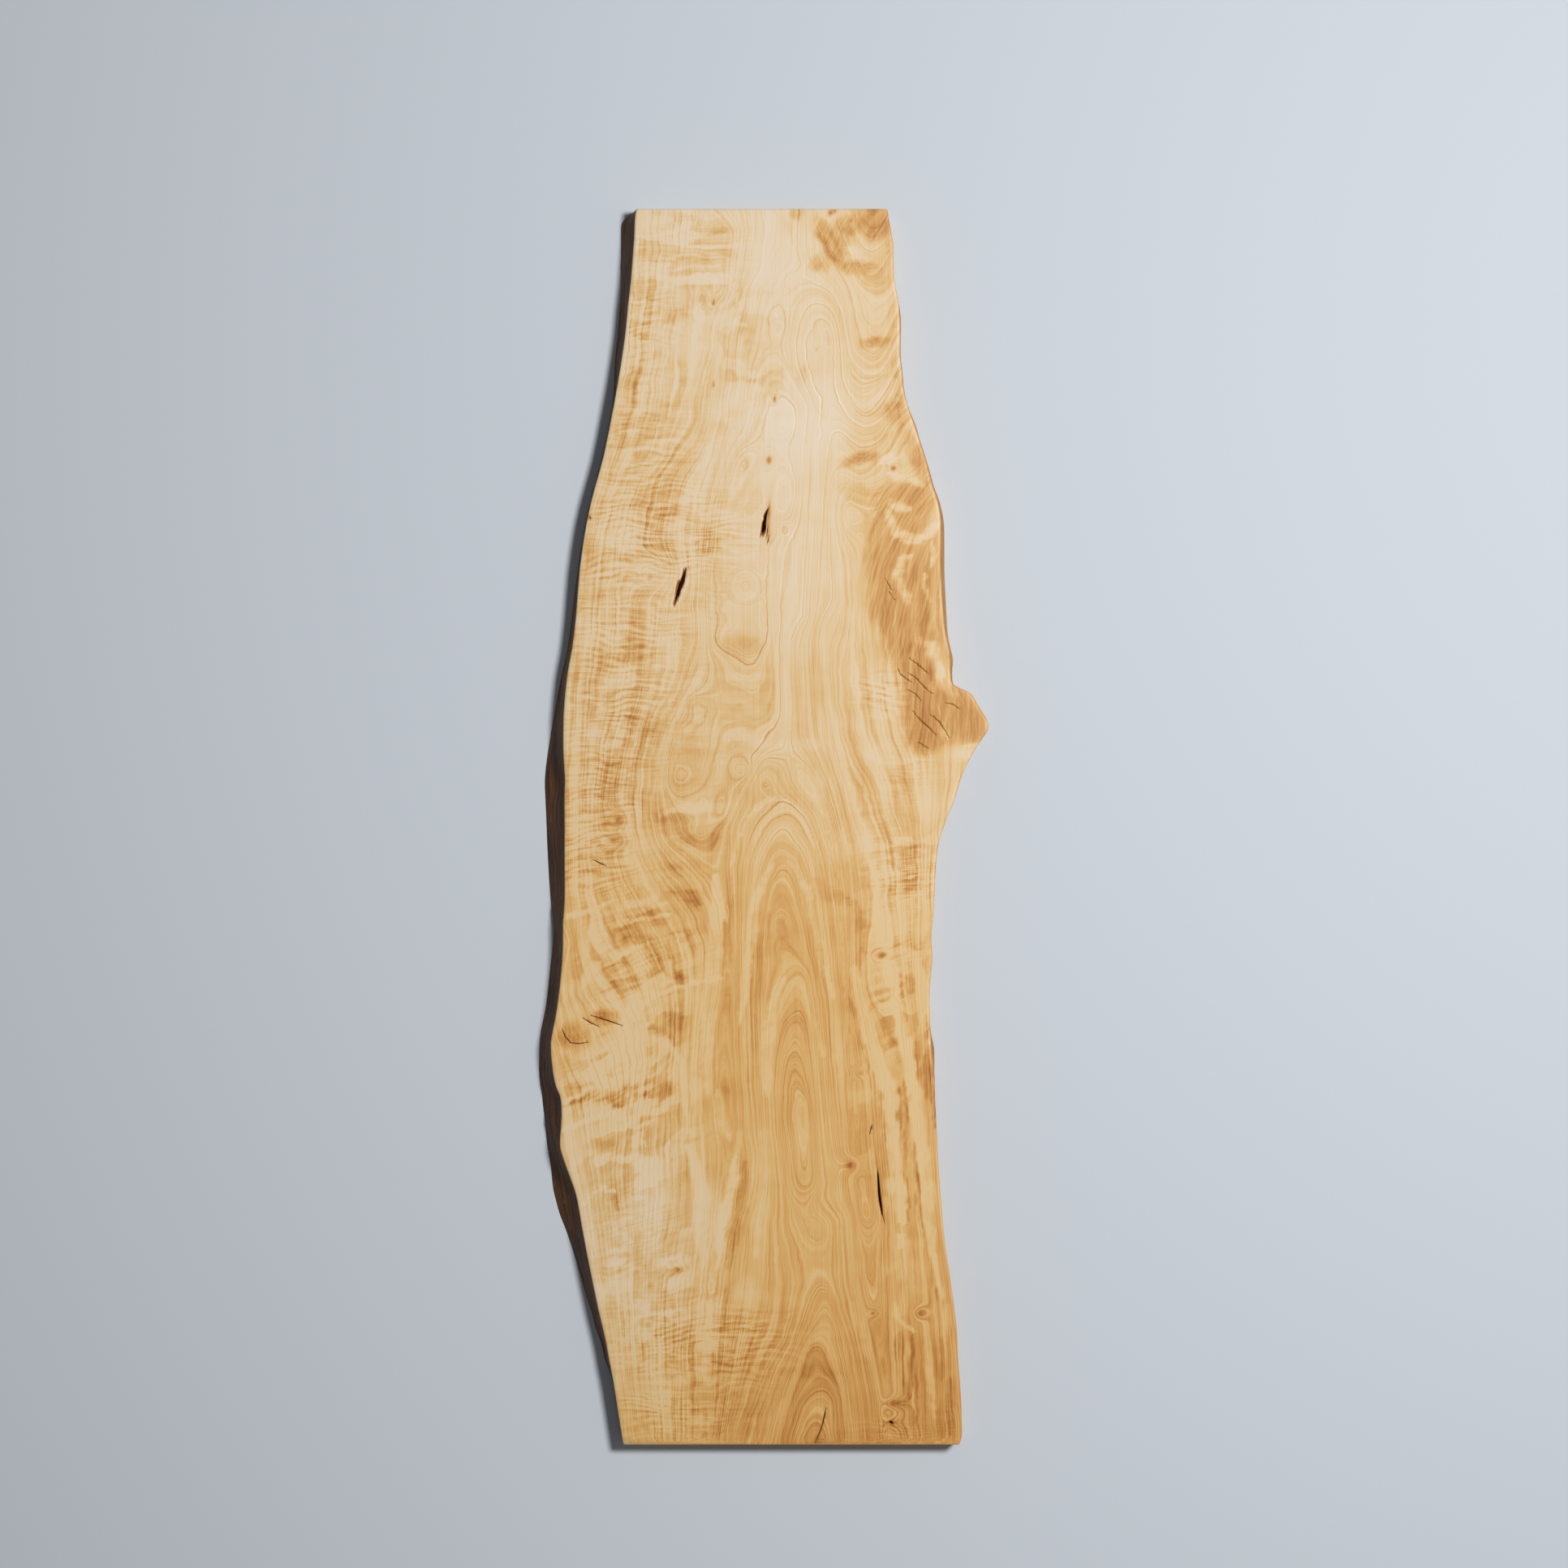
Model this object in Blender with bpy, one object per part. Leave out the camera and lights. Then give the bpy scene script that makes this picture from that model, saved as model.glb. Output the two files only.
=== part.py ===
"""Horse chestnut slab tabletop: one board sawn through the trunk, both natural edges left on.

Metres, +Z up. The slab lies face up along Y: foot end at -Y, head end at +Y, underside on Z = 0.
"""

import math

import bmesh
import bpy
from mathutils import Vector

MM = 0.001

LENGTH = 2200 * MM
THICKNESS = 55 * MM
TOP_ARRIS = 2.5 * MM
UNDER_ARRIS = 2.0 * MM

# How far the natural edges reach to the left and right of the line that the stations run along.
WIDEST_LEFT = -403.0 * MM
WIDEST_RIGHT = 400.8 * MM

# Going down the edge from the top face: the share of the thickness at each course of faces.
EDGE_COURSES = (0.18, 0.38, 0.58, 0.78)
# How the natural edge leaves the top face: steep at first, then running outwards.
FLARE_POWER = 1.35
STEPS_BETWEEN_ROWS = 2

# The left natural edge, from the foot end to the head end, in millimetres: station along the
# board, place of the top face's edge, and how far the underside stands out beyond it.
LEFT_EDGE = (
    (0, -249, 0), (5, -251, 1), (20, -254, 3), (58, -260, 4), (116, -269, 5), (145, -275, 11),
    (174, -280, 12), (203, -286, 17), (232, -293, 17), (260, -299, 21), (318, -311, 25),
    (376, -322, 33), (405, -327, 40), (434, -332, 43), (450, -336, 43), (470, -343, 38),
    (492, -351, 32), (528, -363, 26), (557, -362, 30), (585, -360, 35), (608, -361, 37),
    (622, -363, 36), (636, -370, 32), (665, -376, 28), (708, -380, 23), (737, -376, 24),
    (780, -368, 23), (853, -360, 23), (896, -358, 20), (930, -358, 20), (968, -355, 28),
    (1041, -355, 33), (1113, -355, 36), (1156, -355, 38), (1185, -354, 40), (1228, -357, 32),
    (1300, -357, 20), (1373, -350, 13), (1416, -342, 11), (1474, -335, 10), (1561, -328, 6),
    (1647, -315, 5), (1705, -301, 5), (1763, -285, 5), (1849, -268, 5), (1893, -260, 9),
    (1936, -253, 15), (1979, -247, 16), (2030, -242, 17), (2072, -237, 19), (2111, -234, 23),
    (2150, -231, 26), (2178, -230, 27), (2186, -229.5, 24), (2192, -229, 18), (2197, -228.5, 9),
    (2200, -226.5, 0),
)

# The right natural edge, with the burl that juts out a little above the middle.
RIGHT_EDGE = (
    (0, 344, 0), (3, 349, 0), (10, 352, -1), (23, 353, -3), (60, 352, -5), (104, 350, -6),
    (132, 347.5, -7), (168, 345, -8), (203, 344, -8), (237, 340, -8), (289, 333, -8),
    (353, 323.5, -7), (418, 317, -6), (492, 311.5, -5), (577, 307, -2), (619, 305, 0),
    (655, 303.5, 2), (691, 299, 4), (718, 297.5, 3), (760, 296, 0), (800, 295, -3),
    (850, 298.5, -5), (870, 300, -5), (903, 298, -5), (947, 302, -5), (1014, 305.5, -6),
    (1045, 307.5, -7), (1069, 311, -8), (1087, 315.5, -8), (1110, 324, -9), (1126, 329.5, -9),
    (1141, 337.5, -9), (1163, 343.5, -10), (1178, 348, -10), (1198, 355.5, -11),
    (1215, 363.5, -12), (1240, 377.5, -13), (1261, 392, -12), (1273, 399.5, -10), (1280, 401, -9),
    (1287, 399.5, -8), (1297, 394, -6), (1310, 385, -4), (1325, 376.5, -2), (1336, 371, -2),
    (1343, 364.5, -2), (1345.5, 355, -1), (1347.5, 342, 1), (1352, 336, 3), (1363, 333, 4),
    (1386, 332, 4), (1402, 332, 4), (1417, 330, 5), (1433, 326, 5), (1454, 322.5, 6),
    (1474, 320.5, 7), (1503, 318, 8), (1539, 316, 8), (1567, 314.5, 9), (1600, 314.5, 9),
    (1637, 315, 8), (1659, 313.5, 7), (1685, 308, 6), (1705, 301, 5), (1718, 297, 5),
    (1751, 289, 4), (1784, 278, 3), (1812, 269, 3), (1838, 260, 3), (1862, 252.5, 3),
    (1883, 248, 3), (1906, 246, 3), (1924, 244, 3), (1940, 242, 3), (1985, 242.5, 2),
    (2013, 241.5, 2), (2036, 239.5, 1), (2053, 236, 1), (2072, 232.5, 0), (2097, 231, 0),
    (2122, 230.5, 0), (2143, 229.5, 0), (2160, 227, 0), (2182, 222.5, 0), (2196, 221, 0),
    (2200, 217.5, 0),
)

# Lumps standing out of the natural edges, in millimetres: side (-1 left, 1 right), station,
# share of the thickness down from the top face, half length, height.
EDGE_LUMPS = (
    (-1, 575, 0.62, 26, 7.0), (-1, 640, 0.45, 18, 3.0), (-1, 455, 0.55, 30, -5.0),
    (-1, 940, 0.60, 30, 4.0), (-1, 1180, 0.50, 34, -4.5), (-1, 1080, 0.65, 40, 3.0),
    (-1, 300, 0.55, 36, 3.0), (-1, 800, 0.50, 30, -2.5), (-1, 2090, 0.60, 46, 3.0),
    (1, 700, 0.55, 24, 4.0), (1, 1395, 0.55, 26, 3.5), (1, 1141, 0.50, 14, 3.0),
    (1, 1560, 0.60, 40, 3.0), (1, 880, 0.50, 24, 2.5), (1, 1810, 0.50, 34, 2.5),
    (1, 300, 0.55, 44, 3.0), (1, 2000, 0.55, 36, 2.5),
)
LUMP_HALF_DEPTH = 0.30

# Openings in the top face, as outlines of (across, station) in millimetres, with their depth.
CENTRE_VOID = (
    (9.5, 1672), (8.5, 1668), (5.5, 1653), (4, 1639), (4.5, 1631), (3, 1622), (-2.5, 1613),
    (-4, 1619), (-8, 1613), (-5.5, 1631), (-4, 1642), (-0.5, 1650), (-1.5, 1655), (3, 1664),
)
CENTRE_VOID_SLIVERS = (
    ((7.5, 1636), (6.5, 1624), (2, 1611), (5, 1622), (5.8, 1632)),
    ((9, 1619), (8, 1610), (4.5, 1601), (6.5, 1610)),
)
LEFT_VOID = (
    (-138, 1565), (-137, 1560), (-138, 1552), (-140, 1537), (-143.5, 1528), (-148, 1519),
    (-150, 1511), (-154, 1501), (-161, 1489), (-163, 1496), (-160, 1505), (-158.5, 1519),
    (-157.5, 1526), (-154, 1538), (-148.5, 1542), (-145, 1551), (-142.5, 1564), (-141, 1559),
)
RIGHT_SLIT = (
    (201.5, 498), (204, 492), (206, 470), (208, 448), (210, 433), (212, 418), (212.5, 405),
    (215, 390), (211.5, 404), (210, 401), (206.5, 418), (203.5, 433), (202, 448), (201, 470),
    (200.5, 492),
)
SMALL_SLIT = ((191.5, 571), (193, 569), (191.5, 562), (188, 551), (187, 552), (189.5, 563))
FOOT_KNOT_HOLE = (
    (221.5, 41), (223, 43), (227, 42.5), (231.5, 40), (231.5, 37), (227, 35), (223, 37),
)
EDGE_PIN_HOLE = ((-311, 1650), (-309.5, 1652), (-307.5, 1650.5), (-308.5, 1648), (-310.5, 1647.5))
VOID_DEPTH = 34 * MM
SLIT_DEPTH = 22 * MM
KNOT_HOLE_DEPTH = 16 * MM
PIN_HOLE_DEPTH = 8 * MM
# A pit's floor keeps this share of its mouth's width.
PIT_TAPER = 0.45

# Drying cracks, each a chain of (across, station) in millimetres. The first one runs out
# through the foot end; the rest lie in and beside the burl.
FOOT_CHECK = ((111.5, 65), (108.5, 45), (103, 23), (91.5, -4))
BURL_CRACKS = (
    ((259, 1400), (276, 1387), (292, 1373)),
    ((238, 1382), (243, 1371), (263, 1357)),
    ((256, 1374), (271, 1365), (285, 1349), (300, 1337)),
    ((255, 1345), (269, 1337), (279, 1326)),
    ((264, 1307), (278, 1290), (293, 1277), (306, 1263)),
    ((295, 1301), (311, 1288), (320, 1275), (330, 1258)),
    ((274, 1251), (292, 1239)),
    ((323, 1321), (337, 1318), (348, 1310)),
    ((215, 1543), (227, 1522)),
    ((222, 1519), (233, 1503)),
)
CHECK_WIDTH = 1.6 * MM
CHECK_DEPTH = 14 * MM
CRACK_WIDTH = 1.3 * MM
CRACK_DEPTH = 4 * MM

WOOD_COLOUR = (0.72, 0.47, 0.22, 1)
WOOD_ROUGHNESS = 0.45


def clear_scene():
    for thing in list(bpy.data.objects):
        bpy.data.objects.remove(thing, do_unlink=True)


def new_collection(name):
    group = bpy.data.collections.new(name)
    bpy.context.scene.collection.children.link(group)
    return group


def wood_material():
    wood = bpy.data.materials.new("oiled_horse_chestnut")
    wood.use_nodes = True
    shader = wood.node_tree.nodes["Principled BSDF"]
    shader.inputs["Base Color"].default_value = WOOD_COLOUR
    shader.inputs["Roughness"].default_value = WOOD_ROUGHNESS
    shader.inputs["Metallic"].default_value = 0
    return wood


def place(across, station):
    """A point of the board's plan, from millimetres across and along it."""
    middle = (WIDEST_LEFT + WIDEST_RIGHT) / 2
    return Vector((across * MM - middle, station * MM - LENGTH / 2))


def smooth_between(before, start, end, after, share):
    """A Catmull-Rom curve from start to end, for rows of numbers."""
    found = []
    for a, b, c, d in zip(before, start, end, after):
        bend = 2 * a - 5 * b + 4 * c - d
        twist = 3 * b - a - 3 * c + d
        found.append(b + share * (c - a + share * (bend + share * twist)) / 2)
    return found


def smooth_rows(rows):
    """The rows of an edge with smooth ones between them."""
    found = []
    last = len(rows) - 1
    for i in range(last):
        before = rows[max(i - 1, 0)]
        after = rows[min(i + 2, last)]
        for step in range(STEPS_BETWEEN_ROWS):
            share = step / STEPS_BETWEEN_ROWS
            found.append(smooth_between(before, rows[i], rows[i + 1], after, share))
    found.append(list(rows[last]))
    return found


def plan_of_board():
    """The top face's outline, anticlockwise: (side, station, place, flare) for each point."""
    plan = []
    for side, rows in ((1, smooth_rows(RIGHT_EDGE)), (-1, smooth_rows(LEFT_EDGE)[::-1])):
        for station, across, flare in rows:
            plan.append((side, station, place(across, station), flare * MM))
    return plan


def outward_normals(plan):
    normals = []
    for i in range(len(plan)):
        along = plan[(i + 1) % len(plan)][2] - plan[i - 1][2]
        normals.append(Vector((along.y, -along.x)).normalized())
    return normals


def lump_height(side, station, depth):
    height = 0
    for lump_side, middle, level, half_length, peak in EDGE_LUMPS:
        if lump_side != side:
            continue
        along = (station - middle) / half_length
        down = (depth - level) / LUMP_HALF_DEPTH
        height += peak * MM * math.exp(-along * along - down * down)
    return height * math.sin(math.pi * depth)


def edge_courses():
    """(depth as a share of the thickness, inset of the rounded arris) from the top face down."""
    top = TOP_ARRIS / THICKNESS
    under = UNDER_ARRIS / THICKNESS
    eased = 1 - math.sqrt(0.5)
    courses = [(0, TOP_ARRIS), (top * eased, TOP_ARRIS * eased), (top, 0)]
    courses += [(depth, 0) for depth in EDGE_COURSES]
    courses += [(1 - under, 0), (1 - under * eased, UNDER_ARRIS * eased), (1, UNDER_ARRIS)]
    return courses


def ring_points(plan, normals, depth, inset):
    """One course round the board, flared straight across it, so that the sawn ends stay square."""
    points = []
    for (side, station, corner, flare), outward in zip(plan, normals):
        reach = flare * depth**FLARE_POWER + lump_height(side, station, depth)
        spot = corner + Vector((side * reach, 0)) - outward * inset
        points.append((spot.x, spot.y, THICKNESS * (1 - depth)))
    return points


def slab_object(group, wood):
    """The board, lofted from its top face's outline down to its underside's."""
    plan = plan_of_board()
    normals = outward_normals(plan)
    shape = bmesh.new()
    rings = []
    for depth, inset in edge_courses():
        ring = [shape.verts.new(point) for point in ring_points(plan, normals, depth, inset)]
        rings.append(ring)
    for upper, lower in zip(rings, rings[1:]):
        for i in range(len(upper)):
            shape.faces.new((upper[i - 1], lower[i - 1], lower[i], upper[i]))
    shape.faces.new(rings[0])
    shape.faces.new(rings[-1][::-1])
    mesh = bpy.data.meshes.new("slab")
    shape.to_mesh(mesh)
    shape.free()
    mesh.materials.append(wood)
    slab = bpy.data.objects.new("slab", mesh)
    group.objects.link(slab)
    return slab


def cutter_object(name, mouth, floor, depth, group):
    """A closed pit cutter between a mouth outline above the top face and a floor outline."""
    shape = bmesh.new()
    above = THICKNESS + depth * 0.1
    upper = [shape.verts.new((p.x, p.y, above)) for p in mouth]
    lower = [shape.verts.new((p.x, p.y, THICKNESS - depth)) for p in floor]
    for i in range(len(upper)):
        shape.faces.new((upper[i - 1], lower[i - 1], lower[i], upper[i]))
    shape.faces.new(upper)
    shape.faces.new(lower[::-1])
    bmesh.ops.recalc_face_normals(shape, faces=shape.faces)
    mesh = bpy.data.meshes.new(name)
    shape.to_mesh(mesh)
    shape.free()
    cutter = bpy.data.objects.new(name, mesh)
    cutter.hide_render = True
    cutter.display_type = "WIRE"
    group.objects.link(cutter)
    return cutter


def pit_cutter(name, outline, depth, group):
    mouth = [place(across, station) for across, station in outline]
    middle = sum(mouth, Vector((0, 0))) / len(mouth)
    floor = [middle + (point - middle) * PIT_TAPER for point in mouth]
    return cutter_object(name, mouth, floor, depth, group)


def crack_cutter(name, chain, width, depth, group):
    """A blade along a chain of points, widest in its middle, thinning to its ends and floor."""
    line = [place(across, station) for across, station in chain]
    left, right = [], []
    for i, point in enumerate(line):
        along = line[min(i + 1, len(line) - 1)] - line[max(i - 1, 0)]
        across = Vector((along.y, -along.x)).normalized()
        at_end = i in (0, len(line) - 1)
        reach = width * (0.2 if at_end else 0.5)
        left.append(point - across * reach)
        right.append(point + across * reach)
    mouth = right + left[::-1]
    centre = line + line[::-1]
    floor = [mid + (edge - mid) * PIT_TAPER for mid, edge in zip(centre, mouth)]
    return cutter_object(name, mouth, floor, depth, group)


def all_cutters(group):
    pits = [
        ("centre_void", CENTRE_VOID, VOID_DEPTH),
        ("left_void", LEFT_VOID, VOID_DEPTH),
        ("right_slit", RIGHT_SLIT, SLIT_DEPTH),
        ("small_slit", SMALL_SLIT, PIN_HOLE_DEPTH),
        ("foot_knot_hole", FOOT_KNOT_HOLE, KNOT_HOLE_DEPTH),
        ("edge_pin_hole", EDGE_PIN_HOLE, PIN_HOLE_DEPTH),
    ]
    for number, sliver in enumerate(CENTRE_VOID_SLIVERS, 1):
        pits.append((f"centre_void_sliver_{number}", sliver, PIN_HOLE_DEPTH))
    cutters = [pit_cutter(name, outline, depth, group) for name, outline, depth in pits]
    cutters.append(crack_cutter("foot_check", FOOT_CHECK, CHECK_WIDTH, CHECK_DEPTH, group))
    for number, chain in enumerate(BURL_CRACKS, 1):
        name = f"burl_crack_{number}"
        cutters.append(crack_cutter(name, chain, CRACK_WIDTH, CRACK_DEPTH, group))
    return cutters


def cut_openings(slab, cutters):
    for cutter in cutters:
        cut = slab.modifiers.new(cutter.name, "BOOLEAN")
        cut.operation = "DIFFERENCE"
        cut.solver = "EXACT"
        cut.object = cutter


def main():
    clear_scene()
    parts = new_collection("horse_chestnut_slab_tabletop")
    cutters = new_collection("cutters")
    slab = slab_object(parts, wood_material())
    cut_openings(slab, all_cutters(cutters))


main()
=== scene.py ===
"""Looks of the horse chestnut slab tabletop, lying on a pale floor and seen from straight above."""

import math

import bmesh
import bpy
import numpy as np
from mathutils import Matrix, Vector, noise
from mathutils.bvhtree import BVHTree


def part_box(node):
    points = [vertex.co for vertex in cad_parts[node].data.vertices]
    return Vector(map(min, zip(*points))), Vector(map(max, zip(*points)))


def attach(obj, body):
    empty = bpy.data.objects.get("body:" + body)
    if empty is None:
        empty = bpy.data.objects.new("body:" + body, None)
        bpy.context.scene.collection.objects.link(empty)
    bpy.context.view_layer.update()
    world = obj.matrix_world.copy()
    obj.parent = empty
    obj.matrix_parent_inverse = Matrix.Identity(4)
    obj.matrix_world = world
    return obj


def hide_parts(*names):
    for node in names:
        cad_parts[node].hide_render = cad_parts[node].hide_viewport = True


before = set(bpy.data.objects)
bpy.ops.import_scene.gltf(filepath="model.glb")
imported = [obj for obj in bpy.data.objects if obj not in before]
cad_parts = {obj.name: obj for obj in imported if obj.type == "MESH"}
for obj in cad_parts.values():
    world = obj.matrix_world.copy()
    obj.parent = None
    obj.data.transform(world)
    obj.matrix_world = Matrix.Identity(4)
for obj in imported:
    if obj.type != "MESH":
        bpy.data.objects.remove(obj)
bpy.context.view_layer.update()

MM = 0.001
BOARD_LOW, BOARD_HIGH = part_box("slab")
THICKNESS = BOARD_HIGH.z
HALF_LENGTH = BOARD_HIGH.y

# The photograph's frame on the top face: the size of one of its pixels, and the middle of the frame.
PIXEL = 1.4445 * MM
FRAME_PIXELS = 1932
FRAME_MIDDLE = Vector((36.9, 76.3)) * MM

# Fineness of the board's surface.
ROWS = 470
TOP_COLUMNS = 140
SIDE_COURSES = 11
UNDERSIDE_COLUMNS = 30
ARRIS = 2.2 * MM
SHARP_ANGLE = math.radians(40)
CUTTER_RISE = 4 * MM
PROBE_INSET = 0.05 * MM
WELD = 0.001 * MM
FLAT_LEVEL = 0.01 * MM
FACING_UP = 0.99
# The angles round an arris, in degrees, at which the ends and the natural edges have points.
END_ROUNDING = (0, 30, 60)
EDGE_ROUNDING = (0, 35, 65)
SMOOTHING_PASSES = 2

# The natural edge's small swellings: how high they are, and how many to a metre along and down it.
RIPPLE_HEIGHT = 1.5 * MM
BROAD_SWELLS = (16, 34)
FINE_SWELLS = (60, 30)
FINE_SHARE = 0.6
# How far apart the two sides are in the noise, broad and fine.
SIDE_SHIFTS = (7, 3)

# The check at the foot and the cracks of the small left burl, in the photograph's pixels.
SMALL_CRACKS = (
    ((1003.5, 1778.5), (1007, 1771), (1010.5, 1763), (1013.5, 1754), (1015.5, 1745), (1017.5, 1735)),
    ((727, 1251), (740, 1255), (753, 1259), (767, 1264)),
    ((717, 1254), (727, 1260), (738, 1265)),
    ((692, 1267), (696, 1277), (703, 1285), (713, 1286), (724, 1284)),
    ((730, 1059), (738, 1063), (747, 1067)),
)
BLADE_WIDTH = 2.2 * MM
BLADE_DEPTH = 6 * MM
BLADE_TIP = 0.15
BLADE_MIDDLE = 0.5
WIDER_PER_POINT = 0.05
SHORT_BLADE = 3
BLADE_TAPER = 0.4

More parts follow.
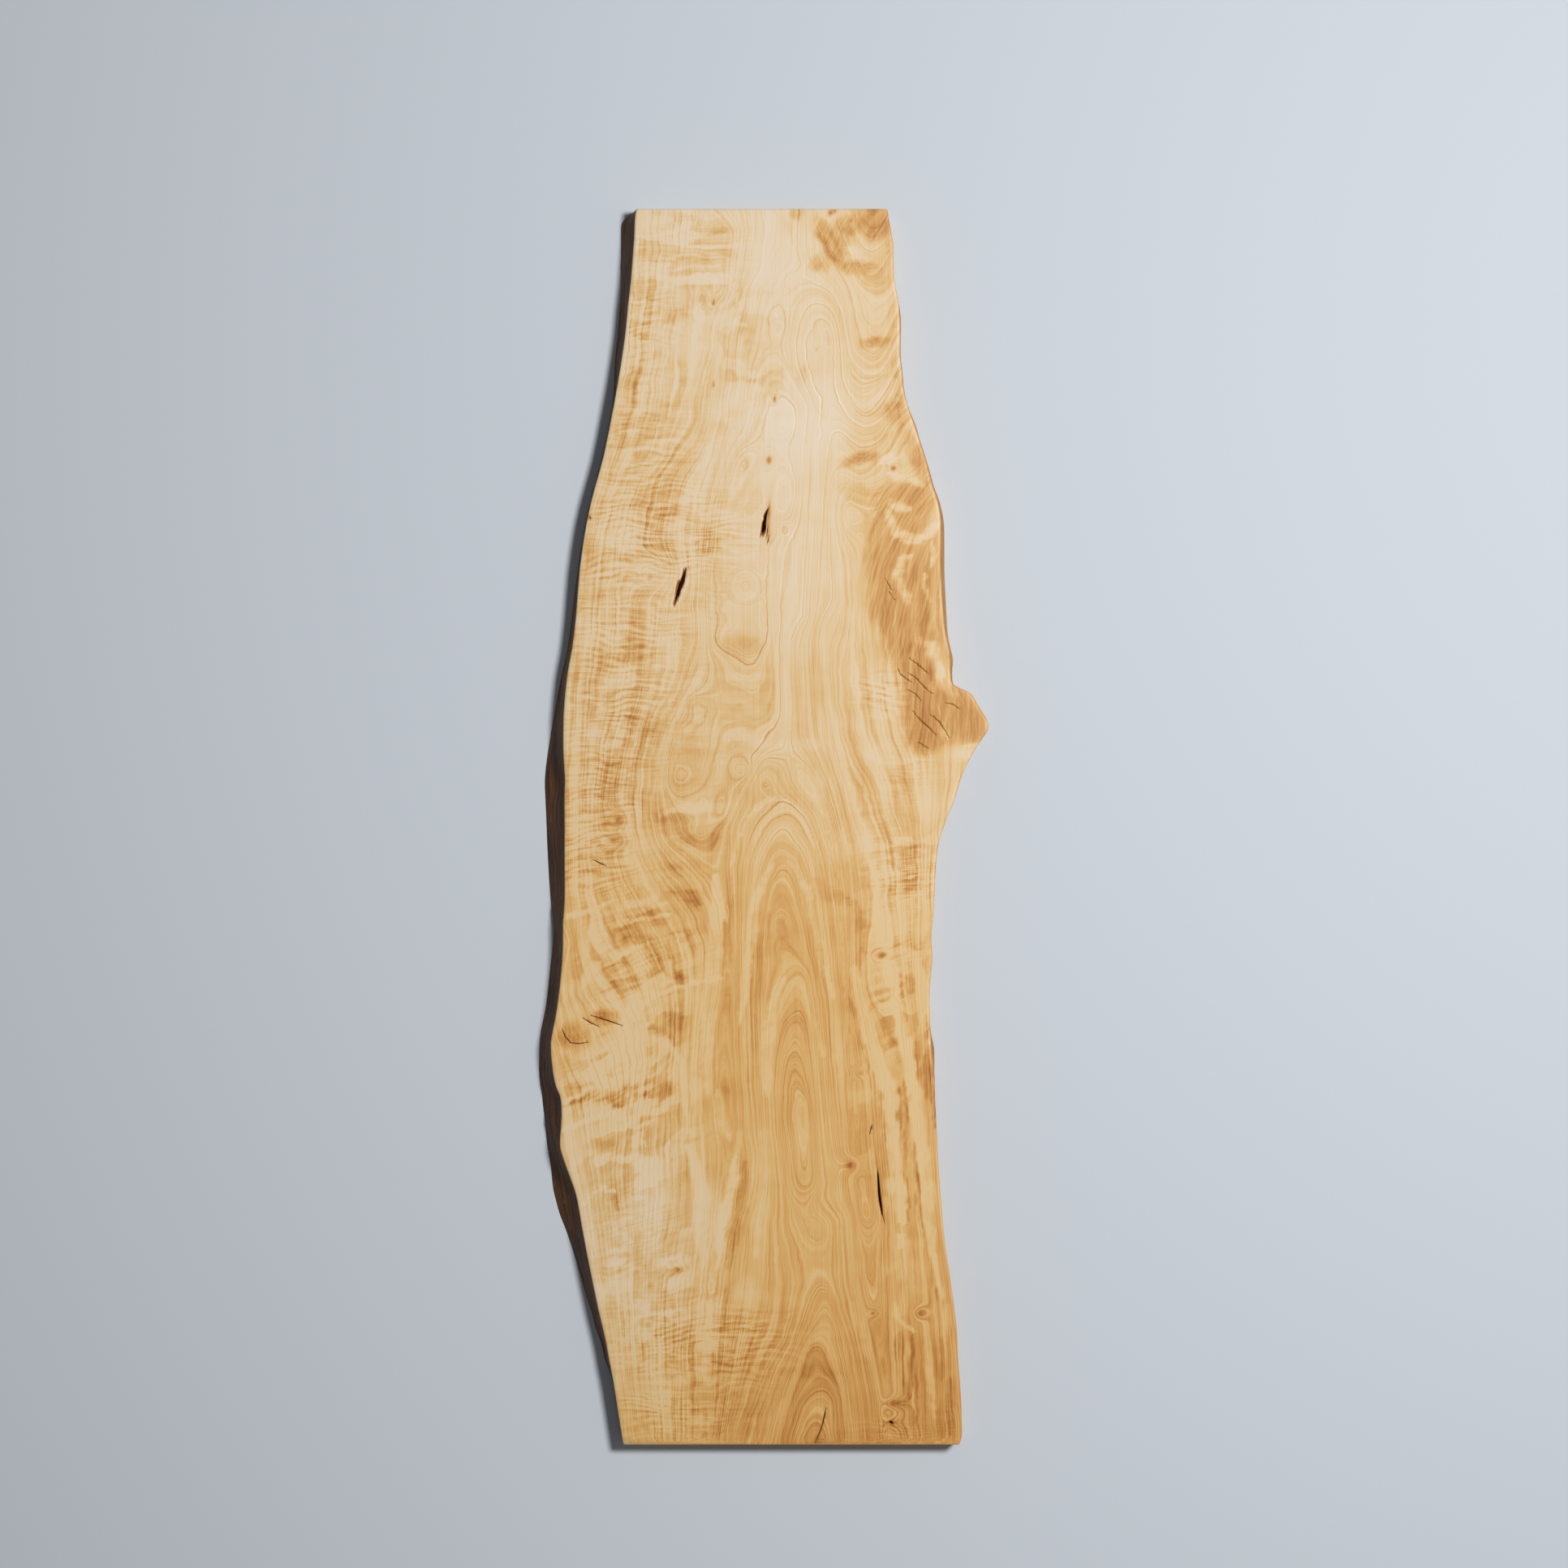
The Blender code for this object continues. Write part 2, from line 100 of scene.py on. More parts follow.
# Growth rings traced on the top face, as (ring number, points), with points in the photograph's pixels.
RING_CURVES = (
    (-4, ((1056, 258), (1066, 275), (1078, 283), (1090, 275), (1096, 262))),
    (-3, ((1045, 260), (1056, 290), (1070, 305), (1085, 300), (1097, 285))),
    (-2, ((1028, 262), (1050, 320), (1062, 345), (1075, 352), (1088, 345), (1100, 326))),
    (-1, ((1006, 260), (1020, 305), (1036, 335), (1052, 365), (1057, 400), (1066, 427), (1078, 430),
          (1090, 418), (1102, 392))),
    (0, ((988, 258), (987, 311), (995, 341), (1012, 351), (1026, 363), (1036, 384), (1041, 412),
         (1047, 440), (1060, 460), (1081, 462), (1096, 445), (1106, 424))),
    (1, ((988, 760), (993, 680), (997, 594), (1002, 523), (1003, 500), (990, 469), (982, 441), (983, 405),
         (991, 384), (1008, 373), (1024, 382), (1032, 402), (1036, 440), (1038, 464), (1046, 485),
         (1065, 508), (1082, 492), (1098, 468), (1108, 450))),
    (2, ((996, 760), (1001, 680), (1005, 560), (1008, 500), (999, 470), (991, 440), (992, 414), (998, 396),
         (1008, 389), (1023, 398), (1029, 419), (1030, 466), (1032, 488), (1044, 510), (1068, 527),
         (1085, 518), (1101, 500), (1113, 480))),
    (2.1, ((1012, 412), (1013, 450), (1015, 500), (1016, 540))),
    (2.08, ((1003, 402), (1004, 430), (1006, 462))),
    (3, ((1004, 760), (1010, 680), (1016, 610), (1019, 558), (1023, 535), (1030, 530), (1045, 539),
         (1059, 547), (1072, 548), (1086, 539), (1097, 521), (1112, 505))),
    (4, ((1008, 814), (1007, 787), (1014, 756), (1025, 737), (1023, 682), (1024, 603), (1036, 581),
         (1057, 591), (1075, 585), (1092, 568), (1118, 540))),
    (5, ((1027, 866), (1025, 820), (1027, 793), (1036, 768), (1040, 731), (1036, 690), (1028, 640),
         (1031, 612), (1040, 598), (1054, 603), (1080, 605), (1110, 590), (1132, 570))),
    (-1, ((944, 676), (944, 774), (938, 796), (926, 815), (904, 805), (889, 793), (886, 775), (886, 742),
          (884, 680), (888, 630), (896, 594), (905, 568), (919, 552), (934, 546), (950, 551), (969, 556),
          (973, 570), (981, 599), (976, 630), (958, 655))),
    (-1.15, ((935, 690), (934, 765), (925, 790), (908, 785), (898, 760), (896, 700), (902, 640), (916, 600),
          (934, 575), (950, 590), (948, 630))),
    (-0.5, ((947, 805), (944, 832), (935, 852), (920, 851), (904, 846), (890, 838), (886, 814), (877, 802),
            (874, 756), (874, 690))),
    (0, ((990, 590), (984, 640), (966, 680), (962, 707), (959, 780), (959, 884), (947, 900), (932, 924),
         (916, 920), (901, 924), (892, 938), (886, 955), (880, 973), (871, 1004), (862, 1030))),
    (-0.5, ((849, 863), (864, 861), (880, 871), (874, 900), (873, 921), (867, 955), (855, 970), (834, 975),
            (826, 965), (827, 940), (836, 895))),
    (-0.72, ((855, 900), (864, 918), (866, 932), (855, 943), (842, 938), (839, 924), (846, 912))),
    (-0.3, ((900, 938), (910, 934), (920, 940), (926, 950), (915, 958), (903, 954))),
    (-0.3, ((889, 975), (896, 985), (893, 1001), (883, 1004), (881, 988))),
    (0.1, ((969, 345), (961, 362), (950, 384), (943, 404), (948, 418), (954, 428), (964, 415), (969, 391),
           (969, 366))),
    (1, ((941, 258), (944, 300), (934, 339), (924, 358), (917, 390), (910, 419), (905, 500), (893, 550),
         (878, 600), (868, 660), (864, 740), (864, 800), (850, 845), (830, 885), (816, 940), (814, 990),
         (823, 1033), (859, 1066), (885, 1109), (892, 1149), (889, 1206), (882, 1252), (876, 1298),
         (878, 1360), (885, 1440), (880, 1520), (872, 1610), (868, 1700), (866, 1778))),
    (2, ((920, 259), (922, 290), (915, 339), (901, 382), (896, 410), (889, 480), (878, 540), (858, 590),
         (843, 650), (840, 750), (834, 830), (808, 890), (796, 950), (794, 1010), (812, 1062), (846, 1110),
         (868, 1160), (866, 1230), (859, 1315), (860, 1398), (862, 1480), (852, 1560), (846, 1640),
         (845, 1778))),
    (3, ((905, 259), (914, 280), (910, 318), (903, 358), (891, 391), (887, 424), (877, 476), (866, 535),
         (832, 590), (816, 660), (810, 750), (800, 840), (782, 900), (772, 960), (770, 1020), (786, 1080),
         (818, 1134), (840, 1190), (842, 1260), (838, 1330), (838, 1400), (838, 1480), (828, 1560),
         (824, 1640), (828, 1778))),
    (4, ((870, 259), (868, 330), (858, 420), (842, 520), (800, 600), (780, 690), (774, 790), (764, 870),
         (748, 940), (744, 1010), (756, 1090), (786, 1150), (812, 1206), (820, 1270), (815, 1340),
         (812, 1410), (812, 1490), (806, 1570), (804, 1650), (812, 1778))),
    (5, ((830, 259), (826, 330), (814, 430), (794, 540), (762, 620), (746, 710), (740, 800), (730, 880),
         (724, 960), (722, 1040), (732, 1120), (760, 1185), (788, 1240), (797, 1300), (792, 1360),
         (786, 1430), (788, 1510), (786, 1590), (788, 1680), (798, 1778))),
    (6, ((795, 259), (790, 340), (782, 430), (764, 530), (734, 630), (720, 720), (712, 820), (706, 900),
         (704, 1000), (703, 1100), (716, 1190), (744, 1250), (766, 1300), (768, 1370), (764, 1440),
         (768, 1520), (770, 1600), (776, 1690), (786, 1778))),
    (7, ((700, 1160), (694, 1220), (712, 1290), (732, 1340), (736, 1400), (742, 1460), (750, 1540),
         (758, 1620), (768, 1710), (776, 1778))),
    (1, ((905, 1500), (912, 1400), (906, 1300), (904, 1200), (900, 1100), (897, 1050), (901, 1013),
         (920, 973), (929, 950), (940, 935), (963, 932), (985, 936), (1002, 955), (1018, 1000), (1030, 1060),
         (1038, 1150), (1044, 1250), (1050, 1350), (1056, 1430), (1064, 1500))),
    (2, ((920, 1400), (915, 1300), (913, 1200), (912, 1100), (920, 1040), (938, 1003), (965, 985),
         (990, 1003), (1008, 1045), (1020, 1110), (1030, 1210), (1036, 1310), (1042, 1400))),
    (3, ((932, 1400), (926, 1300), (924, 1200), (928, 1120), (936, 1060), (950, 1030), (965, 1019),
         (982, 1034), (998, 1072), (1008, 1130), (1020, 1220), (1026, 1310), (1034, 1400))),
    (4, ((942, 1400), (936, 1300), (936, 1200), (940, 1130), (950, 1086), (966, 1066), (980, 1084),
         (988, 1120), (1000, 1180), (1010, 1240), (1018, 1320), (1026, 1400))),
    (5, ((952, 1450), (946, 1350), (946, 1270), (956, 1215), (970, 1192), (983, 1187), (996, 1202),
         (1004, 1250), (1010, 1320), (1018, 1400), (1029, 1460))),
    (6, ((962, 1460), (954, 1370), (956, 1300), (966, 1256), (982, 1240), (994, 1258), (1000, 1310),
         (1008, 1390), (1014, 1480))),
    (7, ((972, 1440), (964, 1370), (968, 1312), (980, 1289), (990, 1310), (998, 1350), (1004, 1410),
         (1008, 1460))),
    (8, ((984, 1420), (976, 1380), (980, 1356), (988, 1346), (996, 1362), (999, 1400), (997, 1430))),
    (8.25, ((990, 1373), (995, 1384), (990, 1398), (985, 1385))),
    (6.5, ((925, 1778), (950, 1700), (973, 1651), (988, 1600), (1000, 1562), (1010, 1547), (1020, 1565),
           (1034, 1610), (1050, 1660), (1060, 1720), (1066, 1778))),
    (7.5, ((944, 1778), (962, 1712), (985, 1655), (1002, 1612), (1018, 1593), (1032, 1626), (1044, 1680),
           (1052, 1730), (1056, 1778))),
    (8.5, ((964, 1740), (976, 1700), (992, 1658), (1006, 1643), (1022, 1654), (1036, 1700), (1042, 1745))),
    (9.5, ((966, 1778), (980, 1728), (998, 1700), (1014, 1692), (1030, 1712), (1036, 1745), (1038, 1778))),
    (10.5, ((982, 1778), (990, 1750), (1003, 1732), (1018, 1742), (1024, 1778))),
    (11.5, ((994, 1778), (1002, 1763), (1010, 1762), (1015, 1778))),
    (4, ((935, 1500), (930, 1560), (922, 1620), (905, 1700), (890, 1778))),
    (2, ((912, 1500), (903, 1580), (895, 1650), (882, 1778))),
    (5, ((1040, 1500), (1046, 1570), (1060, 1650), (1074, 1720), (1080, 1778))),
    (3, ((1052, 1500), (1062, 1580), (1078, 1650), (1090, 1720), (1094, 1778))),
    (4, ((1008, 814), (1010, 860), (1018, 920), (1035, 980), (1052, 1050), (1060, 1120), (1060, 1206),
         (1073, 1265), (1086, 1325), (1090, 1400), (1098, 1500), (1104, 1600), (1108, 1700), (1112, 1778))),
    (5, ((1027, 866), (1040, 930), (1066, 1000), (1084, 1060), (1086, 1130), (1096, 1186), (1104, 1232),
         (1113, 1298), (1118, 1365), (1118, 1450), (1124, 1560), (1132, 1650), (1136, 1778))),
    (6, ((1068, 645), (1062, 713), (1058, 770), (1062, 830), (1072, 900), (1092, 965), (1112, 1050),
         (1116, 1130), (1120, 1200), (1128, 1290), (1132, 1370), (1136, 1450), (1146, 1560), (1154, 1650),
         (1160, 1778))),
    (7, ((1132, 600), (1102, 640), (1090, 720), (1092, 800), (1100, 870), (1122, 950), (1134, 1040),
         (1134, 1150), (1134, 1230), (1140, 1310), (1144, 1400), (1150, 1490), (1162, 1590), (1170, 1680),
         (1176, 1778))),
    (8, ((1150, 630), (1128, 700), (1124, 780), (1134, 850), (1156, 930), (1154, 1010), (1150, 1100))),
    (9, ((1160, 680), (1156, 760), (1166, 840), (1186, 880))),
)
# The spacing of points along a traced ring and of the plate's grid lines, and the plate's own unit,
# all in pixels; then how freely the plate passes by the traced points.
TRACE_STEP = 14
TRACE_GRID = 4
TRACE_SCALE = 100.0
TRACE_SMOOTHING = 2e-3
# Keeps a logarithm from being taken of nothing, and a spot from lying on the last grid line.
TINY = 1e-9
INSIDE_PLATE = 1.001
FIGURE_LEFT, FIGURE_RIGHT = 640, 1240
FIGURE_TOP, FIGURE_BOTTOM = 250, 1790

# How far a ring drifts across and along for each pixel of depth, and how the drawn marks wander:
# the size of the wanderings and how far they go, slow then quick, in pixels.
RING_DRIFT = (0.5, 0.15)
WANDER_SIZE, WANDER = 22, 3.5
JITTER_SIZE, JITTER = 8, 2.5
WANDER_SEEDS = (3.1, 8.7)
JITTER_SEEDS = (5.3, 1.9)
CURL_WANDER = 8.0
CREST_DRIFT = 0.3
KNOT_REACH = 2.0

# Knots and eyes: pixels across and down, half width, half length, how many rings they lift, darkness.
KNOTS = (
    (1023, 262, 3, 4, 1.2, 0.9), (1029, 260, 2.5, 3, 0.8, 0.8), (1049, 271, 2, 2, 0.3, 0.5),
    (879, 373, 1.3, 4, 0.2, 1.1), (879.5, 474, 1.4, 4, 0.2, 0.7), (954.5, 492, 1.8, 4, 0.5, 1.0),
    (955.5, 484, 1, 5, 0.2, 0.6), (947.6, 630, 2.2, 15, 0, 0.8), (946.6, 656, 2.4, 12, 0, 0.75),
    (947.5, 567, 3.5, 5, 1.5, 0.95), (966, 652, 3, 4, 1.2, 0.35),
    (918, 722, 7, 8, 1.6, 0.12), (1101, 577, 3, 3, 1.0, 1.0), (1092, 572, 2, 2, 0.5, 0.4),
    (762, 1010, 5, 5, 1.2, 0.75), (756, 1036, 7, 4, 1.2, 0.7), (1087, 1177, 5, 3.5, 1.6, 0.75),
    (1060, 1322, 4, 2.5, 0.8, 0.65), (1047, 1436, 6, 4.5, 2.2, 0.7), (1047, 1436, 2, 1.8, 0.6, 1.1),
    (1076, 1618, 3.5, 3, 1.0, 0.6), (1135, 1618, 4.5, 3.5, 1.4, 0.75), (1101, 1729, 7, 3.5, 1.2, 0.55),
    (1099, 1753, 6, 4, 0.8, 0.5), (835, 1564, 6, 3, 0.6, 0.6), (828, 1570, 3, 2.5, 0.2, 0.45),
    (726, 637, 2.5, 2, 0.2, 1.3), (801, 713, 4, 3, 1.0, 0.25), (807, 703, 12, 10, 1.3, 0.0),
    (1144, 1285, 3, 6, 0.0, -0.6),
)

# How brown the wood is down the board: pixels down, left part, middle, right part.
BROWNNESS = (
    (255, 0.24, 0.10, 0.44), (330, 0.26, 0.10, 0.46), (450, 0.36, 0.14, 0.36), (520, 0.36, 0.04, 0.34),
    (650, 0.38, 0.14, 0.34), (760, 0.38, 0.20, 0.36), (850, 0.42, 0.36, 0.42), (950, 0.50, 0.40, 0.44),
    (1050, 0.48, 0.46, 0.40), (1200, 0.43, 0.57, 0.48), (1350, 0.38, 0.59, 0.50), (1500, 0.20, 0.49, 0.51),
    (1600, 0.26, 0.58, 0.65), (1680, 0.38, 0.77, 0.81), (1778, 0.50, 0.86, 0.86),
)
LEFT_MIDDLE_RIGHT = (790, 975, 1110)

# Brown (above 0) and pale (below 0) patches: pixels across and down, half width, half length,
# lean to the right in degrees, amount.
PATCHES = (
    (825, 283, 13, 16, 0, 0.26), (856, 270, 7, 12, 0, 0.18), (888, 284, 14, 4, 0, 0.26),
    (880, 306, 22, 4, 0, 0.34), (893, 313, 9, 6, 0, 0.18), (868, 320, 6, 9, 0, 0.22),
    (981, 262, 9, 9, -25, 0.46), (974, 285, 5, 16, -25, 0.16), (916, 392, 8, 36, -12, 0.30),
    (903, 455, 9, 26, -14, 0.22), (940, 467, 24, 9, 0, 0.34), (963, 460, 7, 6, 0, 0.16),
    (987, 463, 7, 13, 10, 0.24), (835, 388, 13, 10, 0, 0.24), (848, 470, 14, 6, 0, 0.28),
    (843, 490, 22, 6, 0, 0.20), (785, 476, 8, 30, -12, 0.20), (818, 512, 14, 20, 0, 0.14),
    (889, 527, 10, 9, -30, 0.22), (870, 350, 6, 30, 0, 0.10), (795, 312, 8, 12, 0, 0.12),
    (1021, 308, 4.5, 27, -31, 0.46), (1031, 300, 4, 18, -28, 0.28), (1043, 286, 14, 16, 20, 0.34),
    (1011, 321, 14, 9, -40, 0.26), (1053, 308, 11, 5, 20, -0.30), (1068, 327, 20, 5, 12, 0.36),
    (1077, 272, 22, 18, 0, 0.24), (1096, 300, 4, 16, 0, 0.34), (1060, 320, 14, 5, 10, -0.2),
    (1080, 350, 20, 14, -20, 0.16), (1076, 422, 18, 8, -8, 0.42), (1098, 400, 6, 34, 0, 0.18),
    (1106, 470, 6, 30, -10, 0.34), (1100, 504, 14, 14, 30, 0.34), (1120, 545, 8, 34, -25, 0.26),
    (1060, 563, 20, 7, -12, 0.44), (990, 520, 40, 46, 0, -0.10), (917, 569, 11, 5, 55, 0.36),
    (1030, 500, 18, 60, 0, -0.10), (940, 320, 40, 40, 0, -0.06),
    (815, 632, 22, 9, 0, 0.24), (869, 674, 18, 9, 0, 0.36), (790, 650, 30, 9, 0, 0.16),
    (845, 610, 34, 5, 0, 0.16), (862, 742, 14, 6, 0, 0.22), (740, 690, 14, 16, 0, 0.10),
    (805, 706, 26, 20, 0, -0.12), (752, 812, 20, 9, 0, 0.18), (735, 850, 14, 24, 0, 0.18),
    (790, 800, 30, 12, 0, 0.10), (780, 905, 30, 34, 0, 0.20), (765, 950, 18, 22, 0, 0.20),
    (735, 780, 16, 16, 0, -0.10), (715, 900, 10, 40, 0, -0.14), (712, 1020, 10, 60, 0, -0.16),
    (914, 797, 24, 15, 0, 0.24), (917, 735, 14, 9, 0, -0.10), (916, 876, 34, 24, 0, 0.20),
    (946, 850, 9, 34, 0, 0.12), (853, 923, 12, 19, 0, 0.12), (985, 918, 30, 9, 0, -0.14),
    (1000, 845, 16, 44, 0, 0.12), (893, 965, 26, 22, 0, 0.12), (965, 965, 34, 18, 0, 0.06),
    (938, 915, 12, 8, 0, -0.16), (885, 1030, 20, 20, 20, 0.10),
    (1064, 650, 18, 12, 30, 0.16), (1062, 632, 16, 4, 30, 0.2), (1092, 566, 10, 6, -20, -0.5),
    (1138, 792, 14, 5, 20, -0.35), (1150, 802, 8, 10, 0, -0.45),
    (1156, 826, 6, 12, -10, -0.4), (1150, 848, 5, 8, 20, -0.3), (1190, 926, 16, 8, -20, -0.45),
    (1086, 852, 22, 4, 0, -0.16), (1090, 866, 20, 5, 0, -0.2), (1086, 882, 18, 5, 0, -0.16),
    (1084, 838, 20, 3, 0, -0.14), (1168, 905, 12, 5, 20, -0.2), (1158, 730, 4, 60, -4, 0.1),
    (1090, 932, 22, 12, 20, -0.24), (1102, 962, 26, 9, 10, 0.08), (1026, 998, 6, 32, -14, 0.34),
    (1062, 975, 9, 26, -10, 0.12), (1112, 1000, 6, 34, 0, -0.12), (1142, 985, 14, 34, -10, -0.12),
    (1126, 1040, 8, 8, 0, 0.24), (1062, 1062, 22, 11, -20, 0.16), (1020, 1030, 9, 36, -14, -0.14),
    (822, 1008, 17, 8, 10, 0.34), (842, 1030, 18, 9, 20, 0.16), (800, 1040, 20, 10, 10, -0.14),
    (855, 1105, 12, 11, 35, 0.34), (832, 1070, 13, 9, 30, 0.24), (797, 1124, 14, 6, 30, 0.26),
    (818, 1092, 16, 7, 30, 0.16), (846, 1160, 11, 19, -28, 0.34), (811, 1173, 15, 10, 20, 0.30),
    (763, 1192, 17, 11, 20, 0.30), (772, 1146, 8, 14, 0, 0.28), (748, 1216, 15, 9, 0, 0.24),
    (776, 1210, 9, 12, 0, 0.20), (748, 1151, 13, 10, 0, 0.24), (834, 1250, 14, 22, -15, 0.30),
    (805, 1296, 9, 15, 20, 0.28), (820, 1210, 14, 9, 30, -0.18), (788, 1347, 17, 7, 25, 0.26),
    (746, 1358, 19, 5, 15, 0.28), (771, 1366, 14, 5, 20, 0.24), (819, 1345, 9, 14, 20, 0.24),
    (750, 1412, 19, 7, 15, 0.22), (784, 1407, 11, 12, 0, 0.20), (758, 1480, 4.5, 14, -14, 0.34),
    (735, 1325, 36, 18, 15, -0.18), (765, 1290, 20, 14, 20, -0.14), (790, 1230, 12, 12, 0, -0.10),
    (806, 1146, 20, 8, 18, -0.22), (722, 1160, 6, 28, 0, -0.2),
    (735, 1372, 15, 7, 12, -0.24), (745, 1254, 13, 8, 12, 0.42), (707, 1282, 18, 14, 15, 0.38),
    (705, 1120, 8, 40, 0, -0.10), (840, 1320, 8, 26, -8, -0.16), (800, 1440, 16, 20, 0, -0.14),
    (963, 1145, 14, 46, 0, 0.08), (985, 1262, 24, 34, 0, 0.10), (1035, 1300, 8, 40, -6, -0.16),
    (1062, 1350, 16, 8, 0, -0.16), (1048, 1455, 5, 8, 0, -0.10), (1098, 1462, 8, 11, -20, -0.30),
    (1112, 1130, 16, 24, 0, -0.20), (1102, 1038, 6, 10, 0, 0.34), (1066, 1040, 8, 12, 0, -0.2),
    (765, 1566, 7, 5, 0, 0.26), (795, 1562, 4, 4, 0, 0.26),
    (800, 1587, 6, 6, 0, 0.22), (833, 1564, 10, 6, 20, 0.22), (844, 1440, 5, 18, -5, 0.26),
    (856, 1420, 5, 30, 0, 0.14), (800, 1490, 30, 34, 0, -0.14), (920, 1590, 14, 20, 0, -0.16),
    (880, 1500, 12, 40, 0, -0.12), (850, 1520, 8, 30, 0, 0.08), (822, 1500, 6, 30, 0, 0.10),
    (1015, 1692, 30, 12, 0, 0.10), (930, 1746, 9, 25, 24, 0.20), (960, 1745, 12, 24, 24, -0.10),
    (1103, 1735, 12, 8, 0, 0.14), (1164, 1752, 14, 24, 0, 0.12), (1146, 1640, 10, 16, 0, -0.10),
    (800, 1720, 24, 30, 0, -0.10), (860, 1640, 6, 40, 4, -0.12), (1000, 1600, 14, 30, 0, 0.06),
)

